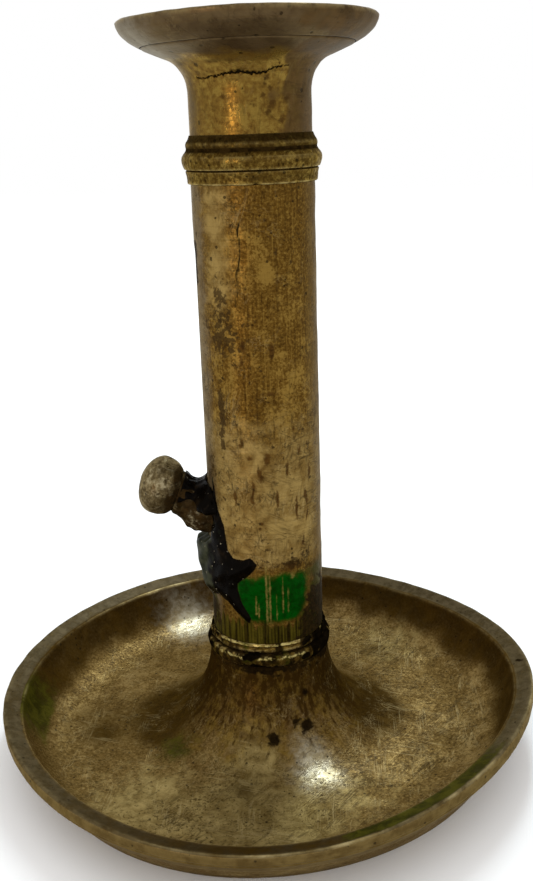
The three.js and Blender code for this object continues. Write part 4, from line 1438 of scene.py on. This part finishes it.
@dataclass
class Nozzle:
    """Upper tube with the wide drip lip, scribed once round and split at the neck."""

    bore: float = 11.5
    radius: float = 12.4
    joint: float = 132.0
    mouth: float = 158.6
    reach: float = 13.4
    depth: float = 13.4
    wall: float = 0.9
    scribed: float = 21.25
    per_degree: float = 0.216
    # The underside of the flare, in shares of reach and depth.
    flare: Rows = (
        (0, 0), (0.015, 0.12), (0.05, 0.24), (0.15, 0.38), (0.24, 0.445), (0.37, 0.495), (0.62, 0.6),
        (0.82, 0.715), (0.95, 0.83), (0.995, 0.93))
    # The split round the neck as (degrees, height), and spots as (degrees, height, width).
    split: Rows = (
        (-52, 147.75), (-46, 147.45), (-40, 147.5), (-34, 147.75), (-29, 147.7), (-25, 147.95), (-20, 148.05),
        (-15, 148.3), (-10, 148.3), (-7, 148.5), (-4, 148.3), (-1, 148.2), (2, 147.9), (6, 148.05), (9, 147.95),
        (14, 148.2), (18, 148.6), (22, 148.95), (26, 149), (29, 149.25), (34, 149.15))
    spots: Rows = (
        (15.4, 147.3, 0.7), (13, 146.2, 0.5), (18, 145.4, 0.5), (20, 142.6, 0.9), (16, 141, 1), (-24, 144, 0.8),
        (12, 144, 0.7), (34, 143.5, 1), (3, 142.5, 0.8), (28, 139.5, 0.9))

    def outline(self) -> Array:
        """The section's corners.

        The flare's line is sampled evenly and smoothed by a Gaussian, and the upper side runs parallel to it.

        Returns:
            Points round tube, flare with its scribed line, rim, upper side and bore.
        """
        shares = np.array(self.flare)
        run = np.concatenate([[0], np.cumsum(np.hypot(*np.diff(shares, axis=0).T))])
        fine = np.linspace(0, run[-1], 120)
        under = np.stack([np.interp(fine, run, shares[:, k]) for k in (0, 1)], -1)
        kernel = np.exp(-np.linspace(-2.2, 2.2, 17) ** 2)
        padded = np.vstack([np.repeat(under[:1], 8, 0), under, np.repeat(under[-1:], 8, 0)])
        under = np.stack([np.convolve(padded[:, k], kernel / kernel.sum(), "valid") for k in (0, 1)], -1)
        flare_foot = self.mouth - self.depth
        under = np.array((self.radius, flare_foot)) + under * (self.reach, self.depth)
        slope = np.gradient(under, axis=0)
        slope /= np.linalg.norm(slope, axis=1)[:, None]
        across = np.stack([-slope[:, 1], slope[:, 0]], -1)
        upper = under + self.wall * across
        upper = upper[upper[:, 0] > self.bore + 0.1][::-1]
        scribed = 0.22 * bell(under[:, 0], self.scribed, 0.16)
        under = under + scribed[:, None] * across
        lip = self.radius + self.reach
        return np.vstack([[(self.bore, self.joint), (self.radius, self.joint)], under,
                          [(lip, self.mouth - 0.35), (lip - 0.35, self.mouth),
                           (lip - self.wall, self.mouth - 0.1)],
                          upper, [(self.bore, flare_foot + 0.08 * self.depth)]])

    def build(self) -> Piece:
        """Turns the section, dents the lip and opens the split round the neck.

        Returns:
            The nozzle, in the scene.
        """
        section = Section.smoothed(self.outline(), step=0.8, rounding=0.06, fine=(146.6, 150.2, 5))
        skin, radius, phi, height = turned(section, crowded_angles(300, 60))
        degrees = np.degrees(phi)
        outside = np.concatenate([[False], np.diff(section.points.sum(1)) > 0])[:, None]
        points = skin.points
        gap, share = to_line(arc_degrees(self.split, self.radius), phi * self.radius,
                             height + 0.1 * ripple(points, 0.7, 31))
        split = bell(gap, 0, 0.07 + 0.16 * bell(share, 0.5, 0.3)) * outside * (radius < 15)
        spot = sum(bell(np.hypot((degrees - a) * self.per_degree, height - z), 0, w) for a, z, w in self.spots)
        skin.values |= {
            "split": clipped(1.1 * split + 0.85 * bell(radius, self.scribed, 0.13) * outside),
            # grey turns the flare's underside and the neck's sides greyer and less metallic, a painted sheen of
            # reflected light.
            "grey": clipped(0.95 * eased(15.2, 18.6, radius + 0.6 * ripple(points, 7, 33))
                            + 0.6 * bell(degrees, -66, 14) + 0.5 * bell(degrees, 62, 18)),
            # A pale grey sheen painted on the lip's left and right.
            "frost": clipped(0.95 * bell(degrees, -84, 34) * eased(15, 19, radius)
                             + 0.4 * bell(degrees, 92, 30) * eased(17, 21, radius)),
            # The right-hand side of the nozzle is darkened as painted shade.
            "dim": 0.8 * eased(24, 34, degrees + 5 * ripple(points, 6, 36)) * eased(160, 110, degrees),
            "spot": 0.78 * spot}
        wavy = 0.16 * np.sin(2 * phi + 0.6) + 0.05 * np.sin(5 * phi + 2) + 0.02 * ripple(points, 6, 34)
        push = -0.4 * split + 0.02 * ripple(points, 5, 35)
        skin.points = points + round_points(push, phi, eased(18, 25.5, radius) * wavy)
        return make_piece("lipped_nozzle", [skin])

    def dress(self) -> None:
        """Builds the nozzle and gives it its finish."""
        place_piece(self.build(), Body.STAND, Slot.LIP, NOZZLE_BRASS.material(), "candle_nozzle")


@dataclass
class WaxCrust:
    """Burnt wax that ran down the stem under the knob."""

    stem: float = 12.75
    buried: float = 0.35
    # How far the grey lump stands out at each height.
    lump: Rows = (
        (35, 0), (37, 0.5), (38.5, 1.1), (40.4, 1.6), (42.5, 1.95), (44.5, 2.2), (46, 2.45), (48, 2.55),
        (50.5, 2.4))

    def shell(self, phi: Array, height: Array, base: float, rise: Array, grey: Array) -> list[Skin]:
        """A closed crust on a round base: an outer skin at base plus rise, and an inner skin at the base.

        Faces are kept where the crust has any thickness, and both skins meet where it has none.

        Args:
            phi: Angles of the grid.
            height: Heights of the grid.
            base: Radius of the inner skin.
            rise: Thickness at each point, 0 outside the crust.
            grey: Share of old grey wax at each point.

        Returns:
            The two skins.
        """
        some = rise > 1e-6
        keep = some[:-1, :-1] | some[1:, :-1] | some[:-1, 1:] | some[1:, 1:]
        outer = round_points(base + rise, phi, height)
        inner = round_points(base, phi, height)
        return [Skin(points, {"grey": grey}, False, False, keep) for points in (outer, inner)]

    def stem_run(self) -> Piece:
        """The run down the stem: thin and glossy to the right, a thick grey lump below the knob.

        Returns:
            The crust, in the scene.
        """
        phi, height = np.meshgrid(np.radians(np.arange(-128, 0, 0.55)), np.concatenate([
            np.arange(31, 48, 0.22), np.arange(48, 51.2, 0.08), np.arange(51.2, 67.5, 0.22)]))
        across, degrees = phi * self.stem, np.degrees(phi)
        points = round_points(self.stem, phi, height)
        inside = within(arc_degrees(TAR_OUTLINE, self.stem), across, height) + 0.12 * ripple(points, 2.4, 41)
        film = 0.14 + 0.45 * eased(0, 2.4, inside) + 0.06 * ripple(points, 3.4, 42) * eased(0, 1.2, inside)
        proud = np.interp(height, *np.array(self.lump).T)
        lump = proud * bell(degrees, -94, 26) * (1 + 0.05 * ripple(points, 5, 43)) * eased(0, 1.3, inside)
        rise = (self.buried + np.clip(film, 0.06, None) + lump) * eased(-0.3, 0.3, inside)
        grey = clipped(bell(degrees, -86, 24) * eased(36, 40, height) + 0.1 * ripple(points, 2.5, 44))
        return make_piece("stem_wax", self.shell(phi, height, self.stem - self.buried, rise, grey), weld=True)

    def dress(self) -> None:
        """Builds the crust and gives it its finish."""
        place_piece(self.stem_run(), Body.STAND, Slot.STEM, Wax("burnt_wax").material())


# The pusher


@dataclass
class Knob:
    """Domed knob on a flared neck, on an axis that slants up from the stem, and the wax on the neck."""

    bend: tuple[float, float, float] = (-13.15, 0, 58.5)
    tilt: float = 20.7
    radius: float = 6.6
    dome: float = 4.25
    back: float = 4.5
    neck: float = 6.65
    seam: float = 4.6
    foot: float = 6.2
    hole: float = 2.75
    hole_depth: float = 11.35
    gap: float = 0.03
    stem: float = 13.05
    lowest: float = -4.5
    # The crust on the neck's underside, as (distance along the axis, thickness).
    crust: Rows = (
        (-4.5, -0.5), (-2.5, -0.3), (-1.5, 0.3), (-0.5, 0.9), (0.5, 1.4), (2.2, 2.1), (3.8, 1.7), (5.2, 1.1),
        (6.2, 0.8), (6.6, 0.4))

    def laid(self, points: Array) -> Array:
        """Turns points made on the Z axis to the knob's slant and moves them to the bend in the shank.

        Args:
            points: The points.

        Returns:
            The points in their place.
        """
        a = math.radians(self.tilt)
        along = np.array((-math.cos(a), 0, math.sin(a)))
        up = np.array((math.sin(a), 0, math.cos(a)))
        return np.array(self.bend) + points @ np.stack([up, np.cross(up, along), along])

    def button(self) -> Piece:
        """Turns the knob's head: a dome, a rounded shoulder and the hole for the shank.

        Returns:
            The head, in the scene.
        """
        widest = self.neck + self.back
        outline = np.vstack([
            [(0, self.hole_depth), (self.hole, self.hole_depth), (self.hole, self.neck),
             (self.seam, self.neck)],
            bezier((self.seam + 0.3, self.neck + 0.25), (self.radius - 0.9, self.neck + 0.2 * self.back),
                   (self.radius, self.neck + 0.5 * self.back), (self.radius, widest), 20),
            arc((0, widest), self.radius, self.dome, 3, 90, 28)])
        outline[-1, 0] = 0
        section = Section.smoothed(outline, False, step=0.35, rounding=0.12)
        skin, radius, phi, height = turned(section, np.radians(np.arange(-180, 180, 2.5)))
        swell = 0.06 * ripple(skin.points, 5, 61) + 0.02 * ripple(skin.points, 1.8, 62)
        skin.points = skin.points + round_points(swell * eased(3, 5, radius), phi, swell * eased(5, 2, radius))
        spots = 0.2 * ripple(skin.points, 3, 63)
        skin.points = self.laid(skin.points)
        x, z = skin.points[..., 0], skin.points[..., 2]
        brown = blobs(((-28, 63, 1.8, 0.5), (-21.6, 60.2, 2.2, 0.45)), x, z)
        skin.values["brown"] = clipped(0.9 * eased(9.4, 7.4, height) + brown + spots)
        # pale paints highlights on the head's face.
        skin.values["pale"] = clipped(blobs(((-23.4, 65, 2.8, 0.62), (-25.3, 58, 1.8, 0.55)), x, z))
        return make_piece("knob_head", [skin], weld=True)

    def skirt(self, outer: Reach, inner: Reach, start: float, end: float) -> Array:
        """A ring round the knob's axis that stands on the stem's sliding radius.

        For each angle round the axis, the foot is found by halving the range between two distances along
        the axis until its distance from the stem's axis is the sliding radius.

        Args:
            outer: Outer radius for distances along the axis and angles round it.
            inner: Inner radius.
            start: Least distance along the axis, in place of the foot where the foot lies below it.
            end: Distance along the axis of the ring's other end.

        Returns:
            The points, rows up the outside and down the inside.
        """
        turn = np.radians(np.arange(-180, 180, 2))[None, :]

        def spot(along: Array, radius: Reach) -> Array:
            """Points at distances along the axis."""
            return self.laid(round_points(radius(along, turn), turn, along))

        def foot(radius: Reach) -> Array:
            """Finds where the ring meets the sliding radius.

            Args:
                radius: The ring's radius.

            Returns:
                Distances along the axis, one for each angle.
            """
            low, high = np.full(turn.shape, self.lowest), np.full(turn.shape, 5.5)
            for _ in range(40):
                middle = 0.5 * (low + high)
                clear = np.hypot(*np.moveaxis(spot(middle, radius)[..., :2], -1, 0)) > self.stem
                low, high = np.where(clear, low, middle), np.where(clear, middle, high)
            return np.maximum(high, start)

        rows = np.linspace(0, 1, 48)[:, None]
        return np.concatenate([spot(foot(radius) + share * (end - foot(radius)), radius)
                               for radius, share in ((outer, rows), (inner, rows[::-1]))])

    def waist(self, along: Array, turn: Array) -> Array:
        """Radius of the neck: wide at the stem, narrow in the middle, with a small ring at the seam.

        Args:
            along: Distances along the axis.
            turn: Angles round it.

        Returns:
            One radius a point, with the crust on the underside.
        """
        end, slim = self.neck - self.gap, self.seam - 0.25
        knots = np.array([(self.lowest, self.foot + 1.6), (-3.5, self.foot + 1.2), (0.4, self.foot),
                          (2.2, slim + 0.55), (3.8, slim), (end - 0.5, slim + 0.1), (end, self.seam)])
        near = [np.interp(along + d, *knots.T) for d in (-0.8, -0.4, 0, 0, 0.4, 0.8)]
        above, below = 0.5 + 0.5 * np.sin(turn), 0.5 - 0.5 * np.sin(turn)
        crust = np.interp(along, *np.array(self.crust).T) * below**1.5
        lumps = 0.1 * ripple(round_points(self.foot - 0.2, turn, along), 2.6, 73) * eased(6.4, 5, along)
        return sum(near) / len(near) + crust + lumps - 0.9 * above**2 * bell(along, 3.4, 1.8)

    def cling(self, along: Array, turn: Array) -> Array:
        """Radius of the wax on the neck: over the upper side, thicker at the stem, and none on the underside.

        Args:
            along: Distances along the axis.
            turn: Angles round it.

        Returns:
            One radius a point, below the brass where there is no wax.
        """
        above, front = 0.5 + 0.5 * np.sin(turn), 0.5 - 0.5 * np.cos(turn)
        points = round_points(self.foot - 0.2, turn, along)
        cover = eased(0.53, 0.68, above + 0.2 * front * eased(4, 1, along) + 0.1 * ripple(points, 3.2, 74))
        thick = (0.2 + 1.2 * above**2 * eased(2.2, 0.4, along) + 0.4 * front * eased(3, 0, along)
                 + 0.2 * above**2 * eased(4.8, 6, along))
        return self.waist(along, turn) - 0.25 + (thick + 0.25 + 0.04 * ripple(points, 3, 75)) * cover

    def collar(self) -> Piece:
        """Turns the neck and fits its foot to the round of the stem.

        Returns:
            The neck, in the scene.
        """
        points = self.skirt(self.waist, lambda along, turn: np.full_like(along, self.hole), self.lowest,
                            self.neck - self.gap)
        values = {"brown": clipped(0.9 + 0.2 * ripple(points, 2.8, 72)),
                  # pale paints glints on the crust at the neck's foot.
                  "pale": blobs(((-16.2, 54.5, 2.4, 0.42),), points[..., 0], points[..., 2]),
                  "grime": clipped(0.25 + 0.3 * ripple(points, 3.4, 76))}
        return make_piece("knob_throat", [Skin(points, values, True, True)], weld=True)

    def wax(self) -> Piece:
        """Lays the wax on the neck; the brass shows through on the underside."""
        points = self.skirt(self.cling, lambda along, turn: self.waist(along, turn) - 0.4, -4.2,
                            self.neck - 0.5)
        return make_piece("neck_wax", [Skin(points, {"grey": np.zeros(1)}, True, True)], weld=True)

    def dress(self) -> None:
        """Builds head, neck and wax and gives them their finishes."""
        material = KNOB_BRASS.material()
        place_piece(self.button(), Body.PUSHER, Slot.KNOB, material, "knob_button")
        place_piece(self.collar(), Body.PUSHER, Slot.KNOB, material, "knob_neck")
        place_piece(self.wax(), Body.PUSHER, Slot.KNOB, Wax("neck_wax").material())


@dataclass
class Pusher:
    """The candle's platform, and the sleeve, shank and saddle, which keep the shape of their solids."""

    plug: float = 10.15
    sleeve: float = 11.2
    top: float = 102.2
    seat: float = 100.8
    plug_depth: float = 4.0

    def platform(self) -> Piece:
        """Turns the platform: a disc with a shallow dished face, rounded edge and a plug below.

        Returns:
            The platform, in the scene.
        """
        low = self.seat - self.plug_depth
        outline = np.array([(0, low), (self.plug - 0.5, low), (self.plug, low + 0.5), (self.plug, self.seat),
                            (self.sleeve, self.seat), (self.sleeve, self.top - 0.4),
                            (self.sleeve - 0.4, self.top),
                            (9, self.top), (8.6, self.top - 0.25), (2, self.top - 0.35),
                            (0, self.top - 0.35)])
        section = Section.smoothed(outline, False, step=0.6, rounding=0.08)
        skin, *_ = turned(section, np.radians(np.arange(-180, 180, 3)))
        return make_piece("platform_disc", [skin], weld=True)

    def dress(self) -> None:
        """Builds the platform and gives the inner solids their finish."""
        material = INNER_BRASS.material()
        place_piece(self.platform(), Body.PUSHER, Slot.INNER, material, "candle_platform")
        for node in ("ejector_sleeve", "ejector_shank", "shank_saddle"):
            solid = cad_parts[node]
            solid.data.materials.clear()
            solid.data.materials.append(material)
            LOG.info("%s: keeps its solid", node)


# The studio


@dataclass(frozen=True)
class Lamp:
    """A soft rectangular lamp that looks at the candlestick."""

    name: str
    bearing: float
    elevation: float
    distance: float
    width: float
    height: float
    radiance: float
    colour: Colour

    def hang(self, aim: Vector) -> None:
        """Hangs the lamp at its bearing, counted from the viewer's side.

        Its power is the radiance times the area times pi.

        Args:
            aim: What it looks at.
        """
        a, e = math.radians(self.bearing), math.radians(self.elevation)
        away = Vector((math.sin(a) * math.cos(e), -math.cos(a) * math.cos(e), math.sin(e)))
        data = bpy.data.lights.new(self.name, "AREA")
        data.shape, data.size, data.size_y = "RECTANGLE", self.width, self.height
        data.energy = self.radiance * self.width * self.height * math.pi
        data.color = self.colour
        lamp = bpy.data.objects.new(self.name, data)
        lamp.location = aim + away * self.distance
        lamp.rotation_euler = away.to_track_quat("Z", "Y").to_euler()
        bpy.context.scene.collection.objects.link(lamp)


@dataclass
class Studio:
    """Pale floor, even white surroundings, a few soft lamps and the camera."""

    image: tuple[int, int] = (533, 881)
    station: tuple[float, float, float] = (0.0, -0.21184, 0.13887)
    yaw: float = 0.27
    pitch: float = 17.57
    roll: float = -1.98
    focal: float = 1000.46
    aim: tuple[float, float, float] = (0.0, 0.0, 0.07)
    lamps: tuple[Lamp, ...] = (
        Lamp("back_lamp", 164.0, 51.0, 1.2, 0.18, 0.64, 15.0, (0.82, 0.94, 1.0)),
        Lamp("warm_lamp", -33.0, 3.0, 1.1, 0.04, 0.22, 50.0, (1.0, 0.66, 0.42)),
    )

    def floor(self) -> None:
        """Lays the pale floor just under the foot ring."""
        far, low = 20000.0, -0.2
        corners = np.array([[(-far, -far, low), (far, -far, low)], [(-far, far, low), (far, far, low)]])
        piece = make_piece("floor", [Skin(corners, loop_columns=False)])
        material, board = blank_material("pale_floor")
        board.surface(Base_Color=(1.0, 1.0, 1.0), Roughness=0.9, Specular_IOR_Level=0.0)
        piece.data.materials.append(material)

    def light(self) -> None:
        """White surroundings and the lamps."""
        world = bpy.data.worlds.new("white_room")
        bpy.context.scene.world = world
        world.use_nodes = True
        world.node_tree.nodes.clear()
        board = Board(world.node_tree)
        room = board.add("Background", {"Color": (1.0, 1.0, 1.0), "Strength": 1.0})
        board.add("OutputWorld", {"Surface": room.outputs[0]})
        for lamp in self.lamps:
            lamp.hang(Vector(self.aim))

    def camera(self) -> None:
        """Sets the camera from its station, turns and focal length in pixels."""
        yaw, pitch, roll = (math.radians(v) for v in (self.yaw, self.pitch, self.roll))
        ahead = Vector((math.sin(yaw) * math.cos(pitch), math.cos(yaw) * math.cos(pitch), -math.sin(pitch)))
        right = Vector((math.cos(yaw), -math.sin(yaw), 0.0))
        up = right.cross(ahead)
        side = right * math.cos(roll) + up * math.sin(roll)
        top = up * math.cos(roll) - right * math.sin(roll)
        data = bpy.data.cameras.new("view")
        data.sensor_fit, data.sensor_height = "VERTICAL", 36.0
        data.lens = self.focal * data.sensor_height / self.image[1]
        data.clip_start, data.clip_end = 0.01, 50.0
        camera = bpy.data.objects.new("view", data)
        facing = Matrix((side, top, -ahead)).transposed().to_4x4()
        camera.matrix_world = Matrix.Translation(self.station) @ facing
        bpy.context.scene.collection.objects.link(camera)
        bpy.context.scene.camera = camera

    def set_up(self) -> None:
        """Sets the camera, floor, light and view transform."""
        self.camera()
        self.floor()
        self.light()
        bpy.context.scene.view_settings.view_transform = "Standard"


def main() -> None:
    """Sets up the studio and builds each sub-assembly in order."""
    logging.basicConfig(level=logging.INFO, format="%(name)s: %(message)s")
    Studio().set_up()
    for part in (BasePan(), Collars(), StemTube(), Nozzle(), WaxCrust(), Knob(), Pusher()):
        LOG.info("building %s", type(part).__name__)
        part.dress()


if __name__ == "__main__":
    main()
